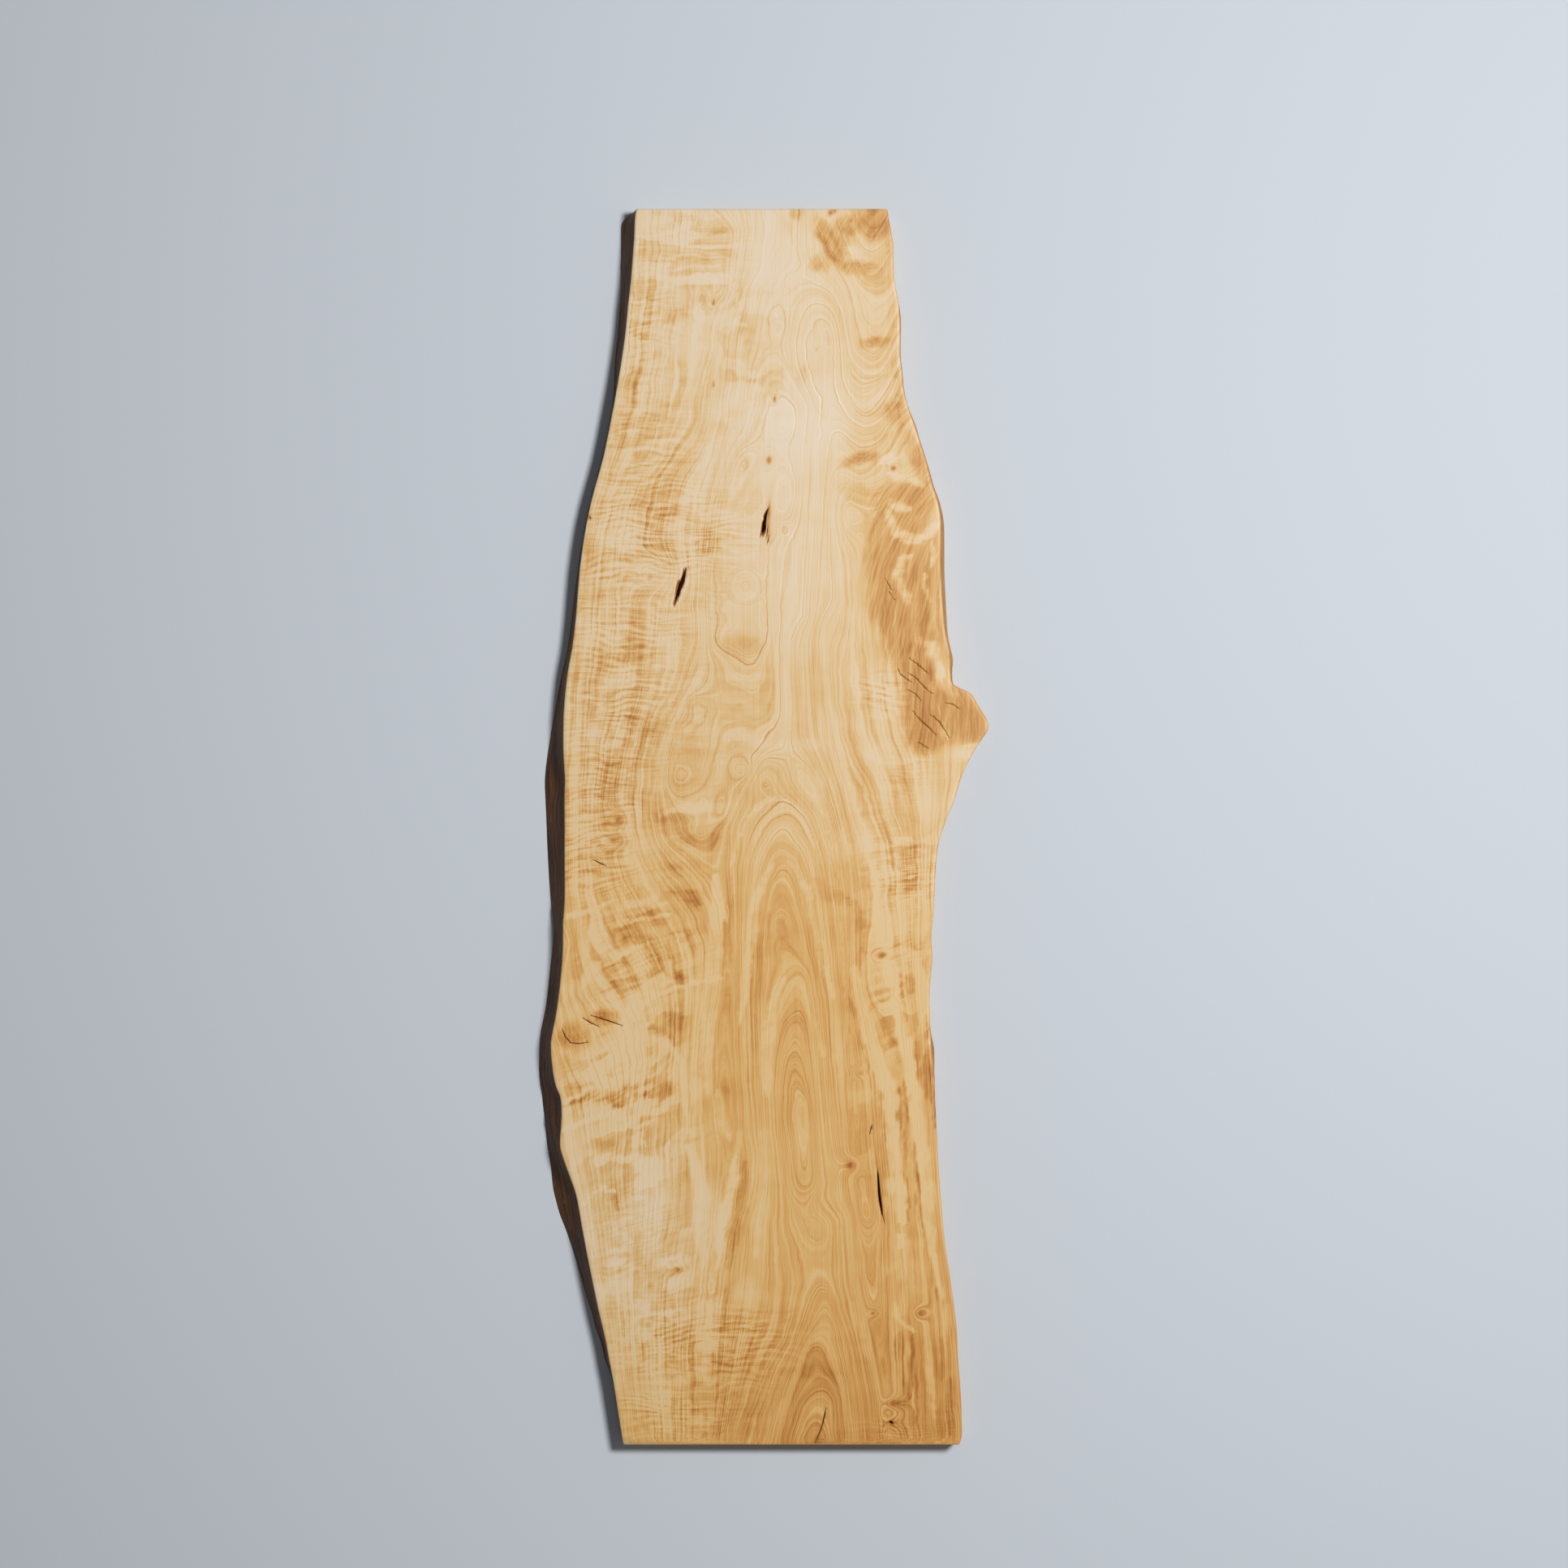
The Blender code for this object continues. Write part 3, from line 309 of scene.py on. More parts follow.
# Long brown (above 0) and pale (below 0) strokes along the grain: amount, half width, points in pixels.
STROKES = (
    (-0.46, 6, ((1098, 628), (1098, 645), (1106, 657), (1121, 664), (1138, 663), (1148, 656), (1152, 646))),
    (-0.42, 5.5, ((1122, 686), (1111, 692), (1106, 706), (1110, 721), (1117, 734), (1119, 744))),
    (-0.46, 6, ((1097, 614), (1106, 623), (1120, 630))),
    (-0.46, 5, ((1094, 584), (1108, 589), (1122, 591), (1138, 599))),
    (-0.5, 4, ((1150, 668), (1151, 684), (1148, 700))),
    (-0.4, 3.5, ((1140, 706), (1138, 722), (1146, 740))),
    (-0.42, 8, ((1090, 1182), (1098, 1195), (1101, 1215), (1106, 1240), (1110, 1262), (1115, 1285),
                (1121, 1310), (1126, 1345), (1130, 1390), (1138, 1430), (1142, 1480), (1146, 1530),
                (1151, 1570), (1158, 1600))),
    (-0.42, 9, ((1052, 1192), (1060, 1220), (1066, 1250), (1072, 1280), (1080, 1305), (1087, 1325),
                (1094, 1350), (1099, 1385), (1105, 1420), (1110, 1460), (1112, 1500), (1110, 1535))),
    (-0.32, 7, ((1079, 1106), (1084, 1135), (1090, 1160), (1094, 1174))),
    (-0.34, 8, ((1122, 1172), (1133, 1205), (1138, 1240), (1140, 1266))),
    (0.22, 6, ((1113, 1196), (1112, 1230), (1116, 1260), (1122, 1282))),
    (0.24, 8, ((1044, 1106), (1056, 1125), (1064, 1148), (1064, 1172))),
    (0.26, 4, ((1040, 1215), (1052, 1245), (1062, 1280), (1070, 1312), (1078, 1348))),
    (0.24, 5.5, ((1078, 1188), (1084, 1225), (1091, 1262), (1098, 1290), (1106, 1320), (1110, 1350))),
    (0.34, 7, ((1130, 1286), (1137, 1318), (1143, 1350))),
    (0.5, 3, ((1142, 1250), (1144, 1300), (1150, 1345), (1153, 1390))),
    (0.45, 2.6, ((1107, 1330), (1110, 1380), (1112, 1420), (1116, 1450), (1120, 1480), (1118, 1512))),
    (0.45, 3, ((1114, 1330), (1121, 1380), (1127, 1420), (1132, 1460), (1135, 1500), (1141, 1535),
               (1147, 1570), (1155, 1602))),
    (-0.32, 3, ((1102, 1607), (1104, 1620), (1112, 1631), (1128, 1639))),
    (0.34, 8, ((1108, 1642), (1108, 1665), (1114, 1690), (1120, 1722))),
    (0.26, 4, ((1127, 1642), (1124, 1680), (1130, 1720), (1128, 1752))),
    (-0.26, 4, ((1117, 1655), (1121, 1700), (1130, 1742))),
    (-0.24, 5, ((1140, 1650), (1146, 1700), (1151, 1745))),
    (0.26, 7, ((1158, 1655), (1161, 1700))),
    (0.3, 6, ((1171, 1700), (1173, 1768))),
    (-0.26, 6, ((1167, 1608), (1165, 1652))),
    (-0.16, 6, ((1050, 1606), (1060, 1640), (1068, 1672))),
    (-0.34, 9, ((882, 1080), (884, 1120), (881, 1165), (877, 1205), (874, 1250), (871, 1300), (871, 1345))),
    (-0.34, 6, ((952, 1064), (940, 1085), (932, 1110), (926, 1150), (921, 1190), (915, 1230), (910, 1264))),
    (-0.24, 5, ((972, 1062), (989, 1085), (998, 1110), (1007, 1150), (1016, 1190), (1026, 1232))),
    (-0.32, 7, ((965, 1207), (953, 1235), (947, 1270), (944, 1310), (945, 1348))),
    (-0.18, 4, ((985, 1215), (998, 1245), (1007, 1275), (1015, 1302))),
    (-0.26, 3, ((906, 1100), (904, 1060), (914, 1022), (935, 992), (960, 985), (984, 998), (1000, 1030),
                (1012, 1062))),
    (-0.2, 5, ((1008, 950), (1022, 990), (1036, 1025), (1046, 1050))),
    (0.14, 7, ((901, 1070), (900, 1110), (897, 1160), (893, 1205))),
    (0.24, 8, ((893, 1006), (882, 1040), (873, 1064))),
    (0.2, 9, ((1004, 1082), (1018, 1100), (1040, 1108), (1054, 1112))),
    (0.14, 9, ((945, 1130), (935, 1200), (926, 1260), (920, 1330))),
    (-0.28, 9, ((846, 1416), (860, 1440), (866, 1475), (862, 1515), (868, 1560))),
    (-0.22, 7, ((884, 1345), (889, 1380), (897, 1402))),
    (-0.3, 5, ((912, 1395), (905, 1440), (898, 1480), (890, 1520), (884, 1562))),
    (0.34, 7, ((919, 1432), (915, 1475), (908, 1508), (902, 1540), (897, 1560))),
    (0.3, 6, ((893, 1588), (892, 1615), (889, 1642))),
    (0.3, 6, ((880, 1664), (878, 1700))),
    (0.3, 6, ((903, 1716), (893, 1742), (884, 1772))),
    (-0.16, 10, ((942, 1395), (937, 1440), (934, 1480), (930, 1545))),
    (0.14, 10, ((962, 1690), (1000, 1692), (1044, 1702))),
    (0.3, 3, ((1085, 1345), (1090, 1375), (1091, 1405))),
    (-0.3, 10, ((772, 1252), (800, 1222), (834, 1192))),
    (-0.28, 9, ((745, 1310), (775, 1290), (800, 1262))),
    (-0.26, 8, ((720, 1322), (752, 1336), (790, 1322))),
    (0.3, 7, ((826, 1094), (846, 1104), (866, 1118))),
    (0.28, 7, ((828, 1150), (845, 1158), (862, 1164))),
    (0.28, 7, ((815, 1196), (832, 1200), (846, 1210))),
    (0.26, 7, ((800, 1268), (815, 1272), (832, 1284))),
    (-0.3, 5, ((762, 1120), (790, 1112), (810, 1104))),
    (0.3, 7, ((806, 1174), (824, 1186), (848, 1206))),
    (-0.3, 4, ((820, 1284), (834, 1300), (842, 1325), (845, 1360), (848, 1395))),
    (-0.4, 2.6, ((690, 1361), (710, 1350), (730, 1338))),
    (-0.4, 2.6, ((690, 1395), (720, 1381), (760, 1372))),
    (-0.4, 2.6, ((778, 1137), (800, 1131), (828, 1126))),
    (-0.36, 2.6, ((721, 1320), (742, 1308), (764, 1294))),
    (-0.45, 2.6, ((793, 1228), (830, 1219), (865, 1208), (893, 1203))),
    (-0.36, 2.6, ((690, 1131), (720, 1124), (752, 1112))),
    (-0.4, 2.6, ((746, 1190), (762, 1180), (782, 1171))),
    (-0.4, 2.6, ((778, 1389), (806, 1380))),
    (0.4, 2.6, ((690, 1364), (712, 1356), (732, 1345))),
    (0.36, 2.6, ((742, 1194), (760, 1186), (780, 1177))),
    (-0.26, 6, ((715, 1218), (724, 1200), (738, 1186))),
    (0.4, 2.6, ((1158, 560), (1166, 640), (1168, 720), (1172, 800), (1176, 850))),
)

# Curl, the fine ripple across the fibres: pixels across and down, half width, half length, lean, strength.
CURL_AREAS = (
    (800, 645, 90, 60, 0, 0.8), (770, 740, 80, 80, 0, 0.8), (760, 860, 76, 76, 0, 0.9),
    (735, 980, 50, 70, 0, 1.0), (728, 1060, 46, 50, 0, 1.2), (870, 660, 50, 46, 0, 0.5),
    (790, 1180, 60, 50, 0, 0.4), (760, 1330, 60, 40, 0, 0.4), (840, 1655, 96, 46, 0, 0.9),
    (905, 1655, 70, 40, 0, 0.7), (1122, 1085, 34, 30, 0, 0.9), (1088, 855, 26, 26, 0, 1.0),
    (1118, 950, 34, 44, 0, 0.4), (795, 400, 34, 60, 0, 0.7), (790, 540, 64, 50, 0, 0.7),
    (850, 300, 60, 34, 0, 0.5), (780, 1530, 60, 70, 0, 0.5),
    (1100, 1765, 50, 16, 0, 0.45), (820, 1740, 70, 34, 0, 0.8),
    (1112, 1170, 30, 30, 0, 0.3),
)
# How steeply the curl's crests climb to the right: pixels down, slope.
CURL_CLIMB = (
    (255, 0.0), (450, 0.03), (580, -0.05), (660, -0.05), (720, 0.02), (800, 0.02), (900, -0.03),
    (960, 0.04), (1010, 0.12), (1070, 0.2), (1130, 0.32), (1210, 0.38), (1300, 0.42), (1360, 0.36),
    (1450, 0.28), (1560, 0.18), (1640, 0.06), (1700, -0.02), (1778, 0.05),
)
CURL_ORIGIN = 740
# How sharply a patch ends, and the steepest power that its rim is worked out to.
PATCH_FIRMNESS = 4
STEEPEST = 50
# A stroke's share of its width at the tips, how full it is between them, how many of its widths
# away it is worked out, and the squared distance past which it no longer fades.
STROKE_TIP = 0.4
STROKE_BULGE = 0.6
STROKE_REACH = 2
FAR_OFF = 10

# The burl, brown and full of close threads: pixels across and down, half width, half length, lean, strength.
BURL_AREAS = (
    (1112, 614, 36, 24, 0, 0.9), (1094, 672, 26, 50, 8, 1.0), (1098, 736, 30, 44, 0, 1.0),
    (1128, 700, 34, 62, 0, 0.9), (1122, 788, 34, 44, -8, 1.0), (1134, 850, 26, 40, -8, 1.0),
    (1152, 884, 40, 30, 0, 1.0), (1190, 886, 28, 30, 0, 0.9), (1140, 912, 26, 16, 0, 1.0),
    (1080, 274, 20, 22, 0, 0.85), (1024, 298, 13, 34, -32, 0.95), (1052, 332, 22, 7, 12, 0.6),
    (1012, 326, 12, 8, 0, 0.6), (1044, 276, 14, 12, 0, 0.6), (1138, 572, 14, 24, -20, 0.7),
    (1060, 566, 22, 8, -12, 0.6), (1076, 422, 16, 6, -8, 0.4), (1056, 606, 24, 12, 24, 0.45),
    (745, 1254, 18, 11, -14, 0.8), (707, 1278, 20, 17, 0, 0.9), (1100, 508, 14, 14, 0, 0.5),
)
# How far the burl's threads lean left on their way down: pixels down, pixels to the left.
BURL_LEAN = (
    (255, 0), (345, 50), (560, 0), (600, 34), (640, 60), (700, 86), (760, 98), (820, 112), (880, 116),
    (940, 124),
)
# Wide stripes across the fibres: pixels across and down, half width, half length, lean, strength.
STRIPE_AREAS = (
    (790, 1130, 66, 50, 0, 0.5), (780, 1220, 76, 64, 0, 0.65), (770, 1330, 70, 60, 0, 0.9),
    (800, 1400, 60, 50, 0, 0.5), (760, 1460, 50, 40, 0, 0.7),
    (800, 1580, 70, 90, 0, 0.6), (840, 1740, 60, 30, 0, 0.4),
    (846, 1010, 36, 40, 0, 0.6), (1110, 1050, 44, 60, 0, 0.6), (1104, 1200, 46, 100, 0, 0.6),
    (1100, 1400, 46, 90, 0, 0.5), (1120, 1560, 40, 60, 0, 0.3), (770, 700, 70, 110, 0, 0.12),
    (770, 900, 66, 90, 0, 0.25), (910, 440, 50, 80, 0, 0.4), (840, 320, 66, 66, 0, 0.7),
    (780, 450, 40, 80, 0, 0.6), (1080, 500, 40, 60, 0, 0.3), (905, 880, 50, 60, 0, 0.3),
)
# Where the ring lines stand out: pixels across and down, half width, half length, lean, strength.
LINE_AREAS = (
    (960, 330, 70, 90, 0, 0.9), (1010, 430, 60, 80, 0, 1.0), (1070, 500, 50, 60, 0, 1.0),
    (930, 590, 50, 60, 0, 0.8), (915, 790, 50, 80, 0, 1.0), (1000, 720, 50, 130, 0, 0.8),
    (870, 930, 50, 60, 0, 1.0), (940, 930, 60, 50, 0, 1.0), (970, 1020, 60, 70, 0, 0.7),
    (860, 1130, 40, 90, 0, 0.7), (980, 1250, 60, 150, 0, 0.7), (1090, 1250, 50, 110, 0, 0.6),
    (1000, 1650, 70, 120, 0, 0.7), (1070, 300, 40, 50, 0, 0.7),
)
# How strong stripes and ring lines are at most, and how strong the lines are everywhere else.
STRONGEST = 1.2
FAINT_LINES = 0.25


# Board


def board_reaches(copy, stations, heights):
    """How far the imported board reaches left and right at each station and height, smoothed a little."""
    tree = BVHTree.FromPolygons([v.co for v in copy.vertices], [p.vertices for p in copy.polygons])
    reach = np.zeros((2, len(stations), len(heights)))
    for i, station in enumerate(stations):
        for k, height in enumerate(heights):
            for side, sign in enumerate((-1, 1)):
                start = Vector((sign, station, height))
                hit = tree.ray_cast(start, Vector((-sign, 0, 0)))[0]
                reach[side, i, k] = hit.x if hit else reach[side, i - 1, k]
    for _ in range(SMOOTHING_PASSES):
        reach[:, 1:-1] = 0.25 * reach[:, :-2] + 0.5 * reach[:, 1:-1] + 0.25 * reach[:, 2:]
    return reach


def edge_ripple(station, height, side):
    """Small hollows and swellings of the natural edge, fading at both arrises."""
    broad = Vector((side * SIDE_SHIFTS[0], station * BROAD_SWELLS[0], height * BROAD_SWELLS[1]))
    fine = Vector((side * SIDE_SHIFTS[1], station * FINE_SWELLS[0], height * FINE_SWELLS[1]))
    swell = noise.noise(broad) + FINE_SHARE * noise.noise(fine)
    return RIPPLE_HEIGHT * swell * math.sin(math.pi * height / THICKNESS)


def end_inset(station):
    """How far the section shrinks in the rounded arris of a sawn end."""
    depth = HALF_LENGTH - abs(station)
    if depth >= ARRIS:
        return 0.0
    return ARRIS - math.sqrt(ARRIS**2 - (ARRIS - depth) ** 2)


def arris_depths(angles):
    """Depths, from the face inwards, of points at these angles round an arris."""
    return [ARRIS * (1 - math.cos(math.radians(angle))) for angle in angles]


def row_stations():
    """Stations of the rows, evenly spaced, with three close ones in each end's arris."""
    rounding = arris_depths(END_ROUNDING)
    middle = np.linspace(-HALF_LENGTH + ARRIS, HALF_LENGTH - ARRIS, ROWS - 2 * len(rounding) + 1)
    first = [-HALF_LENGTH + depth for depth in rounding]
    last = [HALF_LENGTH - depth for depth in reversed(rounding)]
    return np.array(first + list(middle) + last)


def course_heights():
    """Heights of the courses down a natural edge, close together in the arrises."""
    rounding = arris_depths(EDGE_ROUNDING)
    between = np.linspace(THICKNESS - ARRIS, ARRIS, SIDE_COURSES - 2 * len(rounding) + 1)
    top = [THICKNESS - depth for depth in rounding]
    return np.array(top + list(between) + rounding[::-1])


def section_points(station, left, right, heights):
    """One row round the board: across the top, down the right edge, back under, up the left edge."""
    inset = end_inset(station)
    shrunk = THICKNESS / 2 + (heights - THICKNESS / 2) * (1 - 2 * inset / THICKNESS)
    left = left + inset
    right = right - inset
    top = np.linspace(left[0], right[0], TOP_COLUMNS + 1)
    under = np.linspace(right[-1], left[-1], UNDERSIDE_COLUMNS + 1)
    points = [(x, station, shrunk[0]) for x in top]
    points += [(x, station, z) for x, z in zip(right[1:-1], shrunk[1:-1])]
    points += [(x, station, shrunk[-1]) for x in under]
    points += [(x, station, z) for x, z in zip(left[-2:0:-1], shrunk[-2:0:-1])]
    return points + points[:1]


def merged_copy(node):
    """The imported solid's mesh with its corners welded, leaving the solid itself alone."""
    mesh = node.data.copy()
    shape = bmesh.new()
    shape.from_mesh(mesh)
    bmesh.ops.remove_doubles(shape, verts=shape.verts, dist=WELD)
    shape.to_mesh(mesh)
    shape.free()
    return mesh


def rippled_rows(copy):
    """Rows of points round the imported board, with the natural edges' ripple added."""
    stations = row_stations()
    heights = course_heights()
    inside = HALF_LENGTH - ARRIS - PROBE_INSET
    probed = np.clip(heights, PROBE_INSET, THICKNESS - PROBE_INSET)
    reach = board_reaches(copy, np.clip(stations, -inside, inside), probed)
    for side, sign in enumerate((-1, 1)):
        for i, station in enumerate(stations):
            for k, height in enumerate(heights):
                reach[side, i, k] += sign * edge_ripple(station, height, sign)
    reach = np.clip(reach, BOARD_LOW.x, BOARD_HIGH.x)
    rows = [section_points(s, reach[0, i], reach[1, i], heights) for i, s in enumerate(stations)]
    return np.array(rows)


def corner_places(mesh):
    """The places of a mesh's corners, one to a row."""
    places = np.zeros(len(mesh.vertices) * 3)
    mesh.vertices.foreach_get("co", places)
    return places.reshape(-1, 3)


def fine_board(copy):
    """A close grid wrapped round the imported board, welded along its seam and closed at both ends."""
    rows = rippled_rows(copy)
    up, around = rows.shape[0] - 1, rows.shape[1] - 1
    bpy.ops.object.select_all(action="DESELECT")
    bpy.ops.mesh.primitive_grid_add(x_subdivisions=around, y_subdivisions=up, size=1)
    board = bpy.context.object
    board.name = "tabletop"
    flat = corner_places(board.data)
    column = np.round((flat[:, 0] + 0.5) * around).astype(int)
    row = np.round((flat[:, 1] + 0.5) * up).astype(int)
    board.data.vertices.foreach_set("co", rows[row, column].ravel())
    bpy.ops.object.mode_set(mode="EDIT")
    bpy.ops.mesh.select_all(action="SELECT")
    bpy.ops.mesh.remove_doubles(threshold=WELD)
    bpy.ops.mesh.select_all(action="DESELECT")
    bpy.ops.mesh.select_non_manifold()
    bpy.ops.mesh.fill_holes(sides=0)
    bpy.ops.mesh.select_all(action="SELECT")
    bpy.ops.mesh.normals_make_consistent(inside=False)
    bpy.ops.object.mode_set(mode="OBJECT")
    return board


def blade_loop(line, widths, lift):
    """Points up one side of a blade and down the other, at one height."""
    sides = []
    for i, (point, width) in enumerate(zip(line, widths)):
        along = line[min(i + 1, len(line) - 1)] - line[max(i - 1, 0)]
        reach = Vector((along.y, -along.x, 0)).normalized() * width
        sides.append((point - reach, point + reach))
    rise = Vector((0, 0, lift))
    return [pair[0] + rise for pair in sides] + [pair[1] + rise for pair in reversed(sides)]


def add_blade(shape, chain):
    """A blade standing in the top face along a chain of pixels, pointed, and wider if it is long."""
    line = [board_spot(across, down) for across, down in chain]
    middle = BLADE_MIDDLE + WIDER_PER_POINT * (len(line) - SHORT_BLADE)
    widths = [BLADE_WIDTH * share for share in (BLADE_TIP, *[middle] * (len(line) - 2), BLADE_TIP)]
    narrow = [width * BLADE_TAPER for width in widths]
    loops = []
    for reaches, lift in ((widths, CUTTER_RISE), (widths, 0), (narrow, -BLADE_DEPTH)):
        loops.append([shape.verts.new(corner) for corner in blade_loop(line, reaches, lift)])
    count = len(loops[0])
    for upper, lower in zip(loops, loops[1:]):
        for i in range(count):
            k = (i + 1) % count
            shape.faces.new((upper[i], upper[k], lower[k], lower[i]))
    for loop in (loops[0], loops[-1]):
        for i in range(len(line) - 1):
            shape.faces.new((loop[i], loop[i + 1], loop[count - 2 - i], loop[count - 1 - i]))


def board_spot(across, down):
    """The place on the top face of a pixel of the photograph."""
    middle = FRAME_PIXELS / 2
    x = FRAME_MIDDLE.x + (across - middle) * PIXEL
    y = FRAME_MIDDLE.y - (down - middle) * PIXEL
    return Vector((x, y, THICKNESS))


def delete_top_face(shape):
    level = THICKNESS - FLAT_LEVEL
    facing = [f for f in shape.faces if f.normal.z > FACING_UP]
    top = [f for f in facing if all(v.co.z > level for v in f.verts)]
    bmesh.ops.delete(shape, geom=top, context="FACES_ONLY")


def delete_outside(shape):
    """Takes away all that is joined to the underside, which leaves the openings' walls and floors."""
    reached = set()
    outer = [v for v in shape.verts if v.co.z < FLAT_LEVEL]
    while outer:
        corner = outer.pop()
        if corner in reached:
            continue
        reached.add(corner)
        outer += [edge.other_vert(corner) for edge in corner.link_edges if edge.link_faces]
    bmesh.ops.delete(shape, geom=list(reached), context="VERTS")
    loose = [v for v in shape.verts if not v.link_faces]
    bmesh.ops.delete(shape, geom=loose, context="VERTS")


def raise_mouths(shape):
    """Carries the openings' mouths up past the top face and closes them there."""
    mouth = [edge for edge in shape.edges if edge.is_boundary]
    lifted = bmesh.ops.extrude_edge_only(shape, edges=mouth)["geom"]
    corners = [part for part in lifted if isinstance(part, bmesh.types.BMVert)]
    bmesh.ops.translate(shape, verts=corners, vec=(0, 0, CUTTER_RISE))
    rim = [part for part in lifted if isinstance(part, bmesh.types.BMEdge)]
    bmesh.ops.holes_fill(shape, edges=rim, sides=0)


def opening_cutter(copy):
    """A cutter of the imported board's voids, slits and cracks, with the blades of the small cracks."""
    shape = bmesh.new()
    shape.from_mesh(copy)
    delete_top_face(shape)
    delete_outside(shape)
    raise_mouths(shape)
    for chain in SMALL_CRACKS:
        add_blade(shape, chain)
    bmesh.ops.recalc_face_normals(shape, faces=shape.faces)
    mesh = bpy.data.meshes.new("openings")
    shape.to_mesh(mesh)
    shape.free()
    cutter = bpy.data.objects.new("openings", mesh)
    bpy.context.scene.collection.objects.link(cutter)
    return cutter


def cut_openings(board, cutter):
    cut = board.modifiers.new("openings", "BOOLEAN")
    cut.operation = "DIFFERENCE"
    cut.solver = "EXACT"
    cut.material_mode = "TRANSFER"
    cut.object = cutter
    bpy.context.view_layer.objects.active = board
    bpy.ops.object.modifier_apply(modifier=cut.name)
    bpy.data.objects.remove(cutter)


# Figure of the wood, worked out at the board's vertices


def smooth_trace(points):
    """Points about TRACE_STEP apart on a smooth curve through the traced ones."""
    traced = np.array(points, float)
    ends = [2 * traced[0] - traced[1], *traced, 2 * traced[-1] - traced[-2]]
    spots = []
    for before, start, finish, after in zip(ends, ends[1:], ends[2:], ends[3:]):
        steps = max(1, round(np.linalg.norm(finish - start) / TRACE_STEP))
        for share in np.arange(steps) / steps:
            bend = (
                2 * start
                + (finish - before) * share
                + (2 * before - 5 * start + 4 * finish - after) * share**2
                + (3 * start - before - 3 * finish + after) * share**3
            )
            spots.append(bend / 2)
    return spots + [traced[-1]]


def plate_distances(spots, centres):
    squares = ((spots[:, None, :] - centres[None, :, :]) ** 2).sum(2)
    return 0.5 * squares * np.log(squares + TINY)


def bent_plate():
    """Grid lines and heights of a thin plate bent through the traced rings, TRACE_GRID pixels apart."""
    centres = []
    levels = []
    for level, points in RING_CURVES:
        traced = smooth_trace(points)
        centres += traced
        levels += [level] * len(traced)
    centres = np.array(centres) / TRACE_SCALE
    count = len(centres)
    flat = np.hstack([np.ones((count, 1)), centres])
    system = np.zeros((count + 3, count + 3))
    system[:count, :count] = plate_distances(centres, centres) + TRACE_SMOOTHING * np.eye(count)
    system[:count, count:] = flat
    system[count:, :count] = flat.T
    weights = np.linalg.solve(system, np.append(levels, [0, 0, 0]))
    across = np.arange(FIGURE_LEFT, FIGURE_RIGHT + 1, TRACE_GRID)
    down = np.arange(FIGURE_TOP, FIGURE_BOTTOM + 1, TRACE_GRID)
    plate = np.zeros((len(down), len(across)))
    for i, row in enumerate(down):
        part = np.column_stack([across, np.full(len(across), row)]) / TRACE_SCALE
        sheet = np.hstack([np.ones((len(part), 1)), part])
        plate[i] = plate_distances(part, centres) @ weights[:count] + sheet @ weights[count:]
    return plate


def read_plate(plate, spots):
    """The plate's height at each spot, smooth between its grid lines."""
    u = np.clip((spots[:, 0] - FIGURE_LEFT) / TRACE_GRID, 0, plate.shape[1] - INSIDE_PLATE)
    v = np.clip((spots[:, 1] - FIGURE_TOP) / TRACE_GRID, 0, plate.shape[0] - INSIDE_PLATE)
    i = v.astype(int)
    j = u.astype(int)
    u = u - j
    v = v - i
    upper = plate[i, j] * (1 - u) + plate[i, j + 1] * u
    lower = plate[i + 1, j] * (1 - u) + plate[i + 1, j + 1] * u
    return upper * (1 - v) + lower * v


def soft_sum(spots, areas, firmness=0):
    """Ellipses added up, level inside and fading at the rim if firm, or else soft all through."""
    total = np.zeros(len(spots))
    for across, down, half_width, half_length, lean, amount in areas:
        turn = math.radians(lean)
        side = spots[:, 0] - across
        length = spots[:, 1] - down
        u = side * math.cos(turn) + length * math.sin(turn)
        v = length * math.cos(turn) - side * math.sin(turn)
        square = (u / half_width) ** 2 + (v / half_length) ** 2
        if firmness:
            power = np.clip(firmness * (square - 1), -STEEPEST, STEEPEST)
            total += amount / (1 + np.exp(power))
        else:
            total += amount * np.exp(-square)
    return total


def stroke_sum(spots, strokes):
    """Strokes added up, each widest in its middle and thinning to its ends."""
    total = np.zeros(len(spots))
    for amount, half_width, points in strokes:
        line = np.array(smooth_trace(points))
        room = STROKE_REACH * half_width
        inside = ((spots > line.min(0) - room) & (spots < line.max(0) + room)).all(1)
        close = spots[inside]
        nearest = np.full(len(close), np.inf)
        for i, (start, finish) in enumerate(zip(line, line[1:])):
            along = finish - start
            share = np.clip((close - start) @ along / (along @ along), 0, 1)
            distance = np.linalg.norm(close - start - share[:, None] * along, axis=1)
            bulge = np.sin(np.pi * (i + share) / (len(line) - 1)) ** STROKE_BULGE
            taper = STROKE_TIP + (1 - STROKE_TIP) * bulge
            nearest = np.minimum(nearest, distance / taper)
        square = np.clip((nearest / half_width) ** 2, 0, FAR_OFF)
        total[inside] += amount / (1 + np.exp(PATCH_FIRMNESS * (square - 1)))
    return total


def wandering(spots, size, seed):
    """Smooth noise at each spot, between about -1 and 1, for features of the given size in pixels."""
    return np.array([noise.noise((x / size, y / size, seed)) for x, y in spots])


